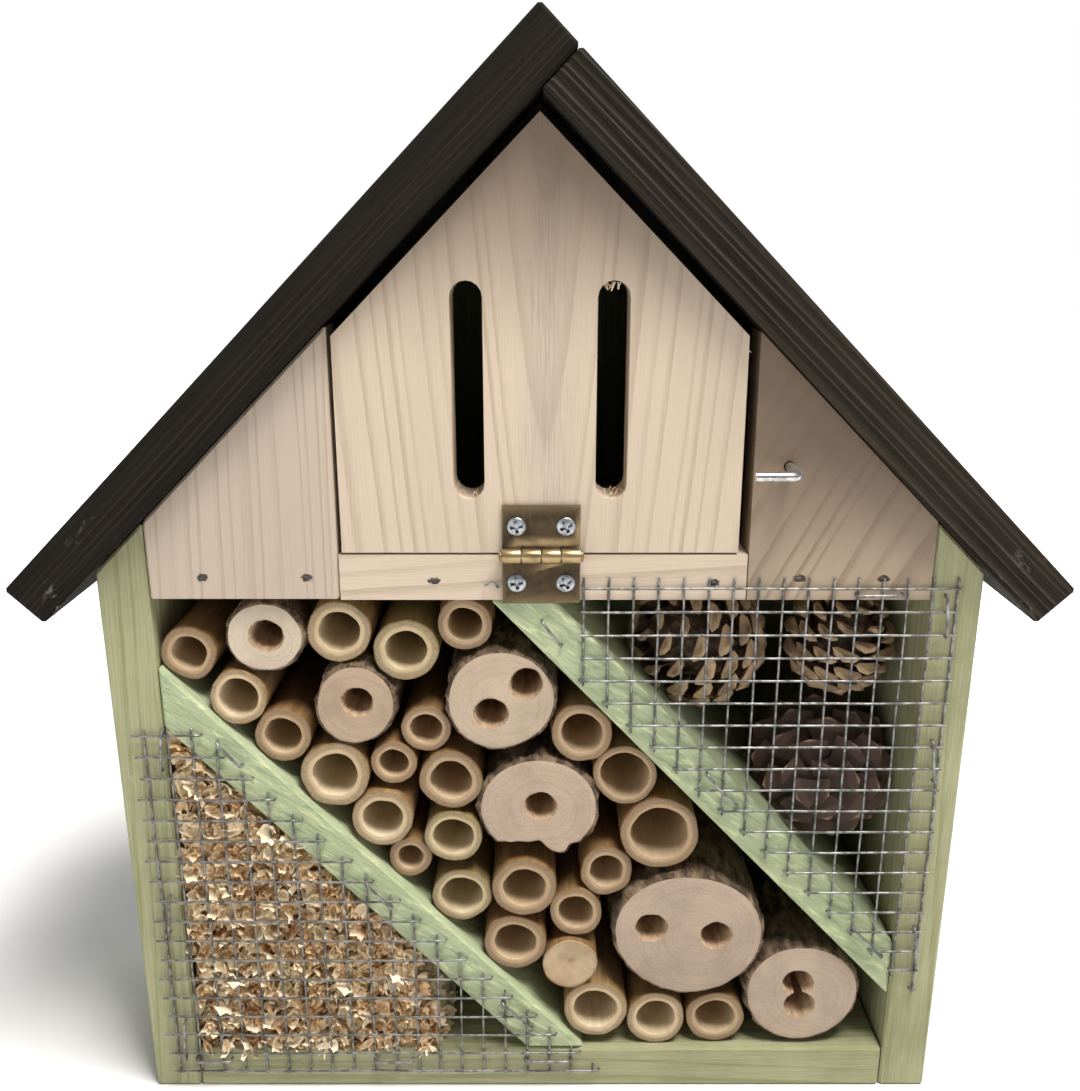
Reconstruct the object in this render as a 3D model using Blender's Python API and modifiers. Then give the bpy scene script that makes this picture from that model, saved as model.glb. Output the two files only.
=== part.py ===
"""Insect hotel: a pitched-roof wooden box with a butterfly door, a slanting stack of drilled logs and
bamboo, and two meshed compartments. +Z is up, the front faces -Y, and the origin is the middle of the
underside, where it stands."""

import math

import bmesh
import bpy
from mathutils import Euler, Vector

MM = 0.001

# The box. Sizes are in metres, angles in radians.
BODY_WIDTH = 226 * MM
BODY_DEPTH = 85 * MM
SIDE_THICKNESS = 13 * MM
BOTTOM_THICKNESS = 13 * MM
SHELF_UNDERSIDE = 151.6 * MM
SHELF_THICKNESS = 12 * MM
BACK_THICKNESS = 4 * MM
BOARD_EDGE_ROUND = 0.7 * MM
FIT_GAP = 0.3 * MM
SMOOTH_UNDER = math.radians(35)

# The roof: the left board runs over the top end of the right one.
RIDGE_HEIGHT = 290 * MM
ROOF_ANGLE = math.radians(45)
ROOF_THICKNESS = 12.5 * MM
ROOF_SLOPE_LENGTH = 190 * MM
ROOF_FRONT_OVERHANG = 5 * MM

# The two slanting dividers and the band between them that holds the sticks.
DIVIDER_ANGLE = math.radians(46.8)
DIVIDER_THICKNESS = 12 * MM
DIVIDER_FOOT_OFFSET = 13 * MM
BAND_WIDTH = 76 * MM

# The front of the loft: two gable panels, a rail and the door between them.
PANEL_THICKNESS = 12 * MM
DOOR_WIDTH = 100 * MM
DOOR_LEFT_GAP = 1.2 * MM
DOOR_RIGHT_GAP = 2.8 * MM
DOOR_TOP_GAP = 3 * MM
DOOR_BOTTOM_GAP = 0.6 * MM
SLOT_WIDTH = 7.8 * MM
SLOT_LENGTH = 53 * MM
SLOT_SPACING = 35.2 * MM
SLOT_ABOVE_DOOR_BOTTOM = 13.8 * MM
STOP_HALF_WIDTH = 11 * MM
STOP_HEIGHT = 26 * MM
STOP_DEPTH = 12 * MM

# The butt hinge on the door's bottom edge.
LEAF_WIDTH = 19.6 * MM
LEAF_REACH = 12.7 * MM
LEAF_THICKNESS = 0.8 * MM
LEAF_CENTRE_OFFSET = 0.3 * MM
KNUCKLE_RADIUS = 1.9 * MM
KNUCKLE_BORE_RADIUS = 1.0 * MM
KNUCKLE_COUNT = 4
KNUCKLE_GAP = 0.3 * MM
PIN_CLEARANCE = 0.1 * MM
PIN_HEAD_RADIUS = 1.5 * MM
PIN_HEAD_LENGTH = 0.7 * MM
SCREW_SPACING = 12.4 * MM
SCREW_TO_AXIS = 7.4 * MM
SCREW_HEAD_RADIUS = 2.45 * MM
SCREW_HEAD_HEIGHT = 0.6 * MM
SCREW_SHANK_RADIUS = 1.2 * MM
SCREW_LENGTH = 9 * MM
SCREW_SEAT_GAP = 0.15 * MM
SCREW_HOLE_CLEARANCE = 0.2 * MM
RECESS_ARM = 3.0 * MM
RECESS_WIDTH = 0.6 * MM
RECESS_DEPTH = 0.9 * MM

# The bent hook that turns beside the door.
HOOK_WIRE_RADIUS = 1.25 * MM
HOOK_STEM_FROM_DOOR = 11.5 * MM
HOOK_ABOVE_DOOR_BOTTOM = 22.2 * MM
HOOK_PROUD = 12 * MM
HOOK_IN_WOOD = 9 * MM
HOOK_BEND_RADIUS = 2.6 * MM
HOOK_TIP_GAP = 0.8 * MM
HOOK_HOLE_CLEARANCE = 0.15 * MM

# Welded mesh: a flat grid of square cells, snipped along the cells beside each divider.
CELL_PITCH = 6.35 * MM
WIRE_WIDTH = 0.7 * MM
MESH_THICKNESS = 1.2 * MM
MESH_TOP_LAP = 3.3 * MM
MESH_SIDE_LAP_RIGHT = 6.5 * MM
MESH_SIDE_LAP_LEFT = 5.2 * MM
MESH_BOTTOM_LAP = 7.1 * MM
MESH_CUT_STUB = 0.5 * MM
MESH_EDGE_STUB = 3.5 * MM
CUT_SLOPE_STEPS = 4

# The keyhole plate on the back.
HANGER_WIDTH = 22 * MM
HANGER_HEIGHT = 38 * MM
HANGER_THICKNESS = 1.2 * MM
HANGER_BELOW_RIDGE = 34 * MM
KEYHOLE_RADIUS = 4.5 * MM
KEYHOLE_SLOT_RADIUS = 2.2 * MM
KEYHOLE_LENGTH = 9 * MM
KEYHOLE_POCKET_MARGIN = 1.2 * MM
HANGER_NAIL_HOLE_RADIUS = 1.2 * MM
HANGER_NAIL_SPACING = 27 * MM

# Sticks, each with its outer diameter, its bores as (diameter, sideways, upwards) from its centre, its
# place as (up along the lower divider from its foot, out from its upper face), and its recess, in mm.
BAMBOO = (
    (17.0, 11.4, -20.0, 33.0, 2.5),
    (17.0, 11.4, -7.5, 20.5, 2.0),
    (18.5, 12.6, 6.5, 11.5, 1.5),
    (15.6, 0.0, 23.5, 16.0, 0.8),
    (15.4, 10.2, 34.0, 28.0, 3.0),
    (22.0, 16.0, 37.5, 62.0, 2.2),
    (15.0, 9.6, 37.5, 42.5, 3.5),
    (17.8, 11.8, 39.5, 10.0, 1.8),
    (18.2, 12.0, 50.5, 24.0, 1.2),
    (17.6, 13.4, 57.0, 66.0, 2.8),
    (16.5, 11.5, 62.5, 10.5, 2.4),
    (16.6, 11.2, 73.5, 66.5, 2.0),
    (15.6, 11.0, 75.5, 19.5, 1.6),
    (12.2, 7.2, 79.5, 7.0, 3.2),
    (17.4, 11.4, 87.5, 32.0, 2.2),
    (16.8, 11.0, 93.5, 10.0, 1.4),
    (12.6, 8.0, 102.5, 23.5, 2.9),
    (13.4, 8.6, 103.0, 37.5, 3.4),
    (19.0, 12.4, 111.5, 10.5, 1.6),
    (14.6, 9.2, 116.5, 65.5, 2.4),
    (17.2, 11.0, 124.5, 51.0, 1.8),
    (15.4, 10.0, 127.5, 7.5, 2.6),
    (17.0, 11.0, 139.0, 40.5, 2.0),
    (15.6, 10.8, 144.0, 8.0, 1.5),
    (14.8, 9.4, 165.5, 11.5, 2.2),
)
LOGS = (
    (34.4, ((8.0, -1.2, 3.4), (8.0, -0.4, -4.0)), -30.0, 57.5, 2.0),
    (43.0, ((8.2, -10.6, 2.2), (8.2, 7.8, -0.3)), 8.5, 47.5, 1.0),
    (32.0, ((8.0, 0.5, 0.5),), 65.5, 43.0, 1.6),
    (30.6, ((8.2, -2.6, -3.7), (8.2, 6.7, 4.8)), 96.0, 58.5, 1.2),
    (23.6, ((7.8, 0.5, 1.0),), 121.5, 29.0, 1.4),
    (21.4, ((8.2, 0.4, 0.5),), 151.0, 24.5, 1.8),
)
STICK_BORE_DEPTH = 60 * MM
LOG_BORE_DEPTH = 25 * MM
STICK_SIDES = 18
LOG_SIDES = 28

# Loose fills: pine cones as wide as their compartment lets them be, and a heap of shavings.
CONE_SIZES = {"left": 0.652, "right": 0.563, "lower": 0.660}
CONE_POINT = 0.4
CONE_BASE = 0.78
CONE_FRONT_RECESS = 4 * MM
HEAP_TOE = 72 * MM
HEAP_SLOPE = math.radians(74)
HEAP_FRONT_RECESS = 1.5 * MM
HEAP_BACK_RECESS = 12 * MM

# Everything below follows from the sizes above.
FRONT = -BODY_DEPTH / 2
BACK = BODY_DEPTH / 2
HALF_WIDTH = BODY_WIDTH / 2
HALF_ROOM = HALF_WIDTH - SIDE_THICKNESS
SHELF_TOP = SHELF_UNDERSIDE + SHELF_THICKNESS
ROOF_FRONT = FRONT - ROOF_FRONT_OVERHANG
BACK_PANEL_FRONT = BACK + FIT_GAP
BACK_PANEL_BACK = BACK_PANEL_FRONT + BACK_THICKNESS
UNDER_RIDGE = RIDGE_HEIGHT - ROOF_THICKNESS / math.cos(ROOF_ANGLE)
DOOR_BOTTOM = SHELF_TOP + DOOR_BOTTOM_GAP
HINGE_Y = FRONT - FIT_GAP - KNUCKLE_RADIUS
HINGE_Z = SHELF_TOP + DOOR_BOTTOM_GAP / 2
HOOK_X = DOOR_WIDTH / 2 + HOOK_STEM_FROM_DOOR
HOOK_Z = DOOR_BOTTOM + HOOK_ABOVE_DOOR_BOTTOM
HANGER_MIDDLE = UNDER_RIDGE - HANGER_BELOW_RIDGE - HANGER_HEIGHT / 2
FAR = 2 * (BODY_WIDTH + RIDGE_HEIGHT)

# Directions in the front plane, as (x, z): up along the dividers, and across the band between them.
UP_BAND = Vector((-math.cos(DIVIDER_ANGLE), math.sin(DIVIDER_ANGLE)))
ACROSS_BAND = Vector((math.sin(DIVIDER_ANGLE), math.cos(DIVIDER_ANGLE)))
DIVIDER_FOOT = Vector((DIVIDER_FOOT_OFFSET, BOTTOM_THICKNESS))

# A trimming face is (a point on it, the direction that is cut away), as (x, z).
LEFT_WALL = (Vector((-HALF_ROOM + FIT_GAP, 0)), Vector((-1, 0)))
RIGHT_WALL = (Vector((HALF_ROOM - FIT_GAP, 0)), Vector((1, 0)))
FLOOR = (Vector((0, BOTTOM_THICKNESS + FIT_GAP)), Vector((0, -1)))
CEILING = (Vector((0, SHELF_UNDERSIDE - FIT_GAP)), Vector((0, 1)))


def under_roof(side, clearance):
    """The trimming face below one roof board: side is -1 for the left board, 1 for the right one."""
    normal = Vector((side * math.sin(ROOF_ANGLE), math.cos(ROOF_ANGLE)))
    return Vector((0, UNDER_RIDGE)) - clearance * normal, normal


UNDER_LEFT_ROOF = under_roof(-1, FIT_GAP)
UNDER_RIGHT_ROOF = under_roof(1, FIT_GAP)


def trimmed(outline, *faces):
    """The convex outline, a list of (x, z), cut back to each trimming face."""
    for point, normal in faces:
        kept = []
        for i, end in enumerate(outline):
            start = outline[i - 1]
            before = (start - point).dot(normal)
            after = (end - point).dot(normal)
            if (before > 0) != (after > 0):
                kept.append(start + (end - start) * (before / (before - after)))
            if after <= 0:
                kept.append(end)
        outline = kept
    return outline


def rectangle(left, right, low, high):
    return [Vector(corner) for corner in ((left, low), (right, low), (right, high), (left, high))]


def stadium(x, low, high, radius, steps=8):
    """An upright slot with round ends, as a closed outline."""
    points = []
    for centre, start in ((high - radius, 0.0), (low + radius, math.pi)):
        for i in range(steps + 1):
            angle = start + math.pi * i / steps
            points.append(Vector((x + radius * math.cos(angle), centre + radius * math.sin(angle))))
    return points


def circle(x, z, radius, steps=16):
    turns = [2 * math.pi * i / steps for i in range(steps)]
    return [Vector((x + radius * math.cos(turn), z + radius * math.sin(turn))) for turn in turns]


def made_mesh(source):
    """Turns a curve or modified mesh into a plain mesh object: caps welded, round faces shaded smooth."""
    bpy.context.scene.collection.objects.link(source)
    bpy.context.view_layer.update()
    graph = bpy.context.evaluated_depsgraph_get()
    mesh = bpy.data.meshes.new_from_object(source.evaluated_get(graph))
    shape = bmesh.new()
    shape.from_mesh(mesh)
    bmesh.ops.remove_doubles(shape, verts=shape.verts, dist=0.001 * MM)
    bmesh.ops.recalc_face_normals(shape, faces=shape.faces)
    shape.to_mesh(mesh)
    shape.free()
    mesh.shade_smooth()
    mesh.set_sharp_from_angle(angle=SMOOTH_UNDER)
    name = source.name
    place = source.matrix_world.copy()
    bpy.data.objects.remove(source)
    result = bpy.data.objects.new(name, mesh)
    mesh.name = name
    result.matrix_world = place
    return result


def plate(name, outlines, front, back):
    """A flat board: closed (x, z) outlines, the first one outermost, drawn from front to back in Y."""
    curve = bpy.data.curves.new(name, "CURVE")
    curve.dimensions = "2D"
    curve.fill_mode = "BOTH"
    curve.extrude = (back - front) / 2
    for outline in outlines:
        spline = curve.splines.new("POLY")
        spline.points.add(len(outline) - 1)
        for point, place in zip(spline.points, outline):
            point.co = (place.x, place.y, 0, 1)
        spline.use_cyclic_u = True
    board = bpy.data.objects.new(name, curve)
    board.location = (0, (front + back) / 2, 0)
    board.rotation_euler = Euler((math.pi / 2, 0, 0))
    return made_mesh(board)


def turned(name, profile, steps):
    """A turned solid about its own Z: (radius, height) points that run down the outer side."""
    mesh = bpy.data.meshes.new(name)
    shape = bmesh.new()
    points = [shape.verts.new((radius, 0, height)) for radius, height in profile]
    for start, end in zip(points, points[1:]):
        shape.edges.new((start, end))
    shape.to_mesh(mesh)
    shape.free()
    result = bpy.data.objects.new(name, mesh)
    screw = result.modifiers.new("Turn", "SCREW")
    screw.steps = steps
    screw.render_steps = steps
    screw.use_merge_vertices = True
    screw.merge_threshold = 0.001 * MM
    return made_mesh(result)


def bars(name, boxes):
    """Separate square bars in one mesh, each given as its lowest and highest corner."""
    mesh = bpy.data.meshes.new(name)
    shape = bmesh.new()
    for low, high in boxes:
        added = bmesh.ops.create_cube(shape, size=1)["verts"]
        bmesh.ops.scale(shape, vec=high - low, verts=added)
        bmesh.ops.translate(shape, vec=(low + high) / 2, verts=added)
    shape.to_mesh(mesh)
    shape.free()
    return bpy.data.objects.new(name, mesh)


def new_collection(name):
    collection = bpy.data.collections.new(name)
    bpy.context.scene.collection.children.link(collection)
    return collection


def finish(name, colour, roughness, metallic=0.0):
    material = bpy.data.materials.new(name)
    material.use_nodes = True
    shader = material.node_tree.nodes["Principled BSDF"]
    shader.inputs["Base Color"].default_value = (*colour, 1)
    shader.inputs["Roughness"].default_value = roughness
    shader.inputs["Metallic"].default_value = metallic
    return material


def keep(part, material):
    """Puts a finished piece in the parts collection."""
    parts.objects.link(part)
    part.data.materials.clear()
    part.data.materials.append(material)
    return part


def cut(part, cutter, operation="DIFFERENCE"):
    """Adds a Boolean to part, and puts the cutter away with the other cutters."""
    cutters.objects.link(cutter)
    cutter.hide_render = True
    cutter.display_type = "WIRE"
    boolean = part.modifiers.new(cutter.name, "BOOLEAN")
    boolean.object = cutter
    boolean.operation = operation
    boolean.solver = "EXACT"


def ease_edges(part):
    bevel = part.modifiers.new("Eased edges", "BEVEL")
    bevel.width = BOARD_EDGE_ROUND
    bevel.segments = 1
    bevel.limit_method = "ANGLE"
    bevel.angle_limit = math.radians(30)


def bore_cutter(name, place, radius, depth, steps=12):
    """A round cutter that opens to the front of place and goes depth behind it."""
    cutter = turned(name, [(0, 1 * MM), (radius, 1 * MM), (radius, -depth), (0, -depth)], steps)
    cutter.location = place
    cutter.rotation_euler = Euler((math.pi / 2, 0, 0))
    return cutter


def attach(part, parent):
    """Hangs a piece on its joint's empty without moving it."""
    bpy.context.view_layer.update()
    part.parent = parent
    part.matrix_parent_inverse = parent.matrix_world.inverted()


def joint_empty(name, place):
    empty = bpy.data.objects.new(name, None)
    empty.location = place
    empty.empty_display_size = 10 * MM
    parts.objects.link(empty)
    return empty


def make_shell():
    """Bottom, sides, shelf and back: plain sawn boards butted together."""
    boards = {
        "bottom_board": (
            trimmed(rectangle(-FAR, FAR, 0, BOTTOM_THICKNESS), LEFT_WALL, RIGHT_WALL),
            FRONT,
            BACK,
        ),
        "side_board_left": (
            trimmed(rectangle(-HALF_WIDTH, -HALF_ROOM, 0, FAR), UNDER_LEFT_ROOF),
            FRONT,
            BACK,
        ),
        "side_board_right": (
            trimmed(rectangle(HALF_ROOM, HALF_WIDTH, 0, FAR), UNDER_RIGHT_ROOF),
            FRONT,
            BACK,
        ),
        "shelf_board": (
            trimmed(
                rectangle(-FAR, FAR, SHELF_UNDERSIDE, SHELF_TOP),
                LEFT_WALL,
                RIGHT_WALL,
                UNDER_LEFT_ROOF,
                UNDER_RIGHT_ROOF,
            ),
            FRONT + PANEL_THICKNESS + FIT_GAP,
            BACK,
        ),
    }
    for name, (outline, front, back) in boards.items():
        board = keep(plate(name, [outline], front, back), green_wood)
        ease_edges(board)
    back_outline = rectangle(-HALF_WIDTH, HALF_WIDTH, 0, FAR)
    back_outline = trimmed(back_outline, UNDER_LEFT_ROOF, UNDER_RIGHT_ROOF)
    pocket_radius = KEYHOLE_RADIUS + KEYHOLE_POCKET_MARGIN
    reach = KEYHOLE_LENGTH / 2 + pocket_radius
    head_room = stadium(0, HANGER_MIDDLE - reach, HANGER_MIDDLE + reach, pocket_radius)
    back_panel = plate("back_panel", [back_outline, head_room], BACK_PANEL_FRONT, BACK_PANEL_BACK)
    keep(back_panel, green_wood)


def make_roof():
    """Two stained boards: the left one's square end is flush with the top face of the right one."""
    ridge = Vector((0, RIDGE_HEIGHT))
    for side, name in ((-1, "roof_board_left"), (1, "roof_board_right")):
        down = Vector((side * math.cos(ROOF_ANGLE), -math.sin(ROOF_ANGLE)))
        inward = Vector((-side * math.sin(ROOF_ANGLE), -math.cos(ROOF_ANGLE)))
        eave = ridge + down * ROOF_SLOPE_LENGTH
        blank = [ridge - down * FAR, eave, eave + inward * ROOF_THICKNESS]
        blank.append(blank[0] + inward * ROOF_THICKNESS)
        other_normal = Vector((-side * math.sin(ROOF_ANGLE), math.cos(ROOF_ANGLE)))
        if side < 0:
            outline = trimmed(blank, (ridge, other_normal))
        else:
            other_underside = Vector((0, UNDER_RIDGE)) - other_normal * FIT_GAP
            outline = trimmed(blank, (other_underside, other_normal))
        board = keep(plate(name, [outline], ROOF_FRONT, BACK_PANEL_BACK), stained_wood)
        ease_edges(board)


def make_dividers():
    """Two parallel slanting boards, mitred to the walls, the floor and the shelf."""
    strips = {
        "divider_lower": (-DIVIDER_THICKNESS, 0),
        "divider_upper": (BAND_WIDTH, BAND_WIDTH + DIVIDER_THICKNESS),
    }
    for name, (low, high) in strips.items():
        blank = [
            DIVIDER_FOOT + ACROSS_BAND * across + UP_BAND * along
            for across, along in ((low, -FAR), (high, -FAR), (high, FAR), (low, FAR))
        ]
        outline = trimmed(
            blank, LEFT_WALL, RIGHT_WALL, FLOOR, CEILING, UNDER_LEFT_ROOF, UNDER_RIGHT_ROOF
        )
        board = keep(plate(name, [outline], FRONT, BACK), mint_wood)
        ease_edges(board)


def make_loft_front():
    """Gable panels and the rail under the door, all flush with the front."""
    opening_left = -DOOR_WIDTH / 2 - DOOR_LEFT_GAP
    opening_right = DOOR_WIDTH / 2 + DOOR_RIGHT_GAP
    back = FRONT + PANEL_THICKNESS
    left = trimmed(rectangle(-FAR, opening_left, SHELF_UNDERSIDE, FAR), LEFT_WALL, UNDER_LEFT_ROOF)
    right = trimmed(rectangle(opening_right, FAR, SHELF_UNDERSIDE, FAR), RIGHT_WALL, UNDER_RIGHT_ROOF)
    rail = rectangle(opening_left + FIT_GAP, opening_right - FIT_GAP, SHELF_UNDERSIDE, SHELF_TOP)
    ease_edges(keep(plate("gable_panel_left", [left], FRONT, back), bare_wood))
    panel = keep(plate("gable_panel_right", [right], FRONT, back), bare_wood)
    hole = (HOOK_X, FRONT, HOOK_Z)
    hole_radius = HOOK_WIRE_RADIUS + HOOK_HOLE_CLEARANCE
    cut(panel, bore_cutter("hook_hole_cutter", hole, hole_radius, HOOK_IN_WOOD + FIT_GAP))
    sill = keep(plate("sill_rail", [rail], FRONT, back), bare_wood)
    for number, x in enumerate(screw_places(), 1):
        drill_for_screw(sill, f"sill_screw_hole_cutter_{number}", x, HINGE_Z - SCREW_TO_AXIS)
    stop = rectangle(-STOP_HALF_WIDTH, STOP_HALF_WIDTH, UNDER_RIDGE - STOP_HEIGHT, FAR)
    stop = trimmed(stop, UNDER_LEFT_ROOF, UNDER_RIGHT_ROOF)
    stop_front = back + FIT_GAP
    ease_edges(keep(plate("door_stop", [stop], stop_front, stop_front + STOP_DEPTH), bare_wood))


def screw_places():
    return [LEAF_CENTRE_OFFSET + side * SCREW_SPACING / 2 for side in (-1, 1)]


def drill_for_screw(part, name, x, z):
    radius = SCREW_SHANK_RADIUS + SCREW_HOLE_CLEARANCE
    cut(part, bore_cutter(name, (x, FRONT, z), radius, SCREW_LENGTH))


def make_door(axis):
    """The gable-shaped door with its two butterfly slots."""
    clear_left = under_roof(-1, DOOR_TOP_GAP)
    clear_right = under_roof(1, DOOR_TOP_GAP)
    outline = rectangle(-DOOR_WIDTH / 2, DOOR_WIDTH / 2, DOOR_BOTTOM, FAR)
    outline = trimmed(outline, clear_left, clear_right)
    slot_low = DOOR_BOTTOM + SLOT_ABOVE_DOOR_BOTTOM
    slots = [
        stadium(side * SLOT_SPACING / 2, slot_low, slot_low + SLOT_LENGTH, SLOT_WIDTH / 2)
        for side in (-1, 1)
    ]
    door = keep(plate("butterfly_door", [outline, *slots], FRONT, FRONT + PANEL_THICKNESS), bare_wood)
    for number, x in enumerate(screw_places(), 1):
        drill_for_screw(door, f"door_screw_hole_cutter_{number}", x, HINGE_Z + SCREW_TO_AXIS)
    attach(door, axis)


def extruded_knuckle(name, left, right, side):
    """One knuckle of a leaf: a bored barrel with a short lug towards its plate, along X."""
    reach = side * (KNUCKLE_RADIUS + KNUCKLE_GAP + LEAF_THICKNESS)
    barrel = circle(0, 0, KNUCKLE_RADIUS, 24)
    bore = circle(0, 0, KNUCKLE_BORE_RADIUS, 24)
    lug = rectangle(KNUCKLE_RADIUS - LEAF_THICKNESS, KNUCKLE_RADIUS, min(0, reach), max(0, reach))
    pieces = []
    for suffix, outlines in (("barrel", [barrel, bore]), ("lug", [lug])):
        piece = plate(f"{name}_{suffix}", outlines, left, right)
        piece.rotation_euler = Euler((math.pi / 2, 0, math.pi / 2))
        piece.location = ((left + right) / 2, HINGE_Y, HINGE_Z)
        pieces.append(piece)
    return pieces


def make_hinge(axis):
    """Two leaves with interleaved knuckles on one pin, each held by two cross-head screws."""
    left = LEAF_CENTRE_OFFSET - LEAF_WIDTH / 2
    step = (LEAF_WIDTH + KNUCKLE_GAP) / KNUCKLE_COUNT
    leaf_back = FRONT - FIT_GAP
    leaf_front = leaf_back - LEAF_THICKNESS
    for side, name in ((1, "hinge_leaf_upper"), (-1, "hinge_leaf_lower")):
        near = HINGE_Z + side * (KNUCKLE_RADIUS + KNUCKLE_GAP)
        far = HINGE_Z + side * LEAF_REACH
        outline = rectangle(left, left + LEAF_WIDTH, min(near, far), max(near, far))
        screw_z = HINGE_Z + side * SCREW_TO_AXIS
        hole_radius = SCREW_SHANK_RADIUS + SCREW_HOLE_CLEARANCE
        holes = [circle(x, screw_z, hole_radius) for x in screw_places()]
        leaf = keep(plate(name, [outline, *holes], leaf_front, leaf_back), brass)
        for index in range(KNUCKLE_COUNT):
            if (index % 2 == 0) != (side > 0):
                continue
            start = left + index * step
            ends = (start, start + step - KNUCKLE_GAP)
            for piece in extruded_knuckle(f"{name}_knuckle_{index}", *ends, side):
                cut(leaf, piece, "UNION")
        if side > 0:
            attach(leaf, axis)
        for number, x in enumerate(screw_places(), 1):
            place = (x, leaf_front - SCREW_SEAT_GAP, screw_z)
            screw = make_screw(f"hinge_screw_{'upper' if side > 0 else 'lower'}_{number}", place)
            if side > 0:
                attach(screw, axis)

    pin_radius = KNUCKLE_BORE_RADIUS - PIN_CLEARANCE
    half = LEAF_WIDTH / 2 + KNUCKLE_GAP
    end = half + PIN_HEAD_LENGTH
    profile = [
        (0, end),
        (0.6 * PIN_HEAD_RADIUS, end - 0.15 * PIN_HEAD_LENGTH),
        (PIN_HEAD_RADIUS, half + 0.3 * PIN_HEAD_LENGTH),
        (PIN_HEAD_RADIUS, half),
        (pin_radius, half),
    ]
    profile += [(radius, -height) for radius, height in reversed(profile)]
    pin = keep(turned("hinge_pin", profile, 24), brass)
    pin.location = (LEAF_CENTRE_OFFSET, HINGE_Y, HINGE_Z)
    pin.rotation_euler = Euler((0, math.pi / 2, 0))


def make_screw(name, place):
    """A cross-head screw whose head's underside is at place, pointing into the wood."""
    profile = [
        (0, SCREW_HEAD_HEIGHT),
        (0.7 * SCREW_HEAD_RADIUS, 0.8 * SCREW_HEAD_HEIGHT),
        (SCREW_HEAD_RADIUS, 0.25 * SCREW_HEAD_HEIGHT),
        (SCREW_HEAD_RADIUS, 0),
        (SCREW_SHANK_RADIUS, 0),
        (SCREW_SHANK_RADIUS, -0.7 * SCREW_LENGTH),
        (0, -SCREW_LENGTH),
    ]
    screw = keep(turned(name, profile, 16), steel)
    screw.location = place
    screw.rotation_euler = Euler((math.pi / 2, 0, 0))
    floor = SCREW_HEAD_HEIGHT - RECESS_DEPTH
    for number, (across, along) in enumerate(((RECESS_ARM, RECESS_WIDTH), (RECESS_WIDTH, RECESS_ARM)), 1):
        low = Vector((-across / 2, -along / 2, floor))
        high = Vector((across / 2, along / 2, SCREW_HEAD_HEIGHT + MM))
        arm = bars(f"{name}_recess_{number}", [(low, high)])
        arm.location = screw.location
        arm.rotation_euler = screw.rotation_euler
        cut(screw, arm)
    return screw


def make_hook():
    """An L-shaped hook of round wire: its stem turns in the right gable panel."""
    axis = joint_empty("hook_axis", (HOOK_X, FRONT, HOOK_Z))
    bend_y = -HOOK_PROUD
    tip_x = DOOR_WIDTH / 2 + HOOK_TIP_GAP - HOOK_X
    points = [Vector((0, HOOK_IN_WOOD, 0))]
    for i in range(7):
        angle = math.pi / 2 * i / 6
        offset = HOOK_BEND_RADIUS * (1 - math.cos(angle)), HOOK_BEND_RADIUS * (1 - math.sin(angle))
        points.append(Vector((-offset[0], bend_y + offset[1], 0)))
    points.append(Vector((tip_x, bend_y, 0)))
    curve = bpy.data.curves.new("l_hook", "CURVE")
    curve.dimensions = "3D"
    curve.bevel_depth = HOOK_WIRE_RADIUS
    curve.bevel_resolution = 3
    curve.use_fill_caps = True
    spline = curve.splines.new("POLY")
    spline.points.add(len(points) - 1)
    for point, place in zip(spline.points, points):
        point.co = (*place, 1)
    hook = bpy.data.objects.new("l_hook", curve)
    hook.location = (HOOK_X, FRONT, HOOK_Z)
    attach(keep(made_mesh(hook), steel), axis)


def mesh_panel(name, columns, rows):
    """Welded wires as one flat grid. columns are (x, low, high) and rows are (z, left, right)."""
    front = FRONT - FIT_GAP - MESH_THICKNESS
    back = FRONT - FIT_GAP
    half = WIRE_WIDTH / 2
    upright = [(Vector((x - half, front, low)), Vector((x + half, back, high))) for x, low, high in columns]
    level = [(Vector((left, front, z - half)), Vector((right, back, z + half))) for z, left, right in rows]
    panel = keep(bars(name, level), wire)
    cut(panel, bars(f"{name}_uprights", upright), "UNION")


def snip_line(across):
    """The slope, and one point, of the line along a divider's middle that the mesh is snipped to."""
    blank = [DIVIDER_FOOT + ACROSS_BAND * across + UP_BAND * along for along in (-FAR, FAR)]
    low, high = trimmed(blank + blank[::-1], LEFT_WALL, RIGHT_WALL, FLOOR, CEILING)[:2]
    middle = (low + high) / 2
    slope = round(math.tan(DIVIDER_ANGLE) * CUT_SLOPE_STEPS) / CUT_SLOPE_STEPS
    return slope, middle


def below_roof(x, z):
    """z, or the height where a wire at x would meet the roof, if that is lower."""
    return min(z, UNDER_RIDGE - FIT_GAP - WIRE_WIDTH - abs(x) * math.tan(ROOF_ANGLE))


def inside_roof(x, z):
    """x, or the place where a wire at height z would meet the roof, if that is nearer the middle."""
    reach = (UNDER_RIDGE - FIT_GAP - WIRE_WIDTH - z) / math.tan(ROOF_ANGLE)
    return math.copysign(min(abs(x), reach), x)


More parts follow.
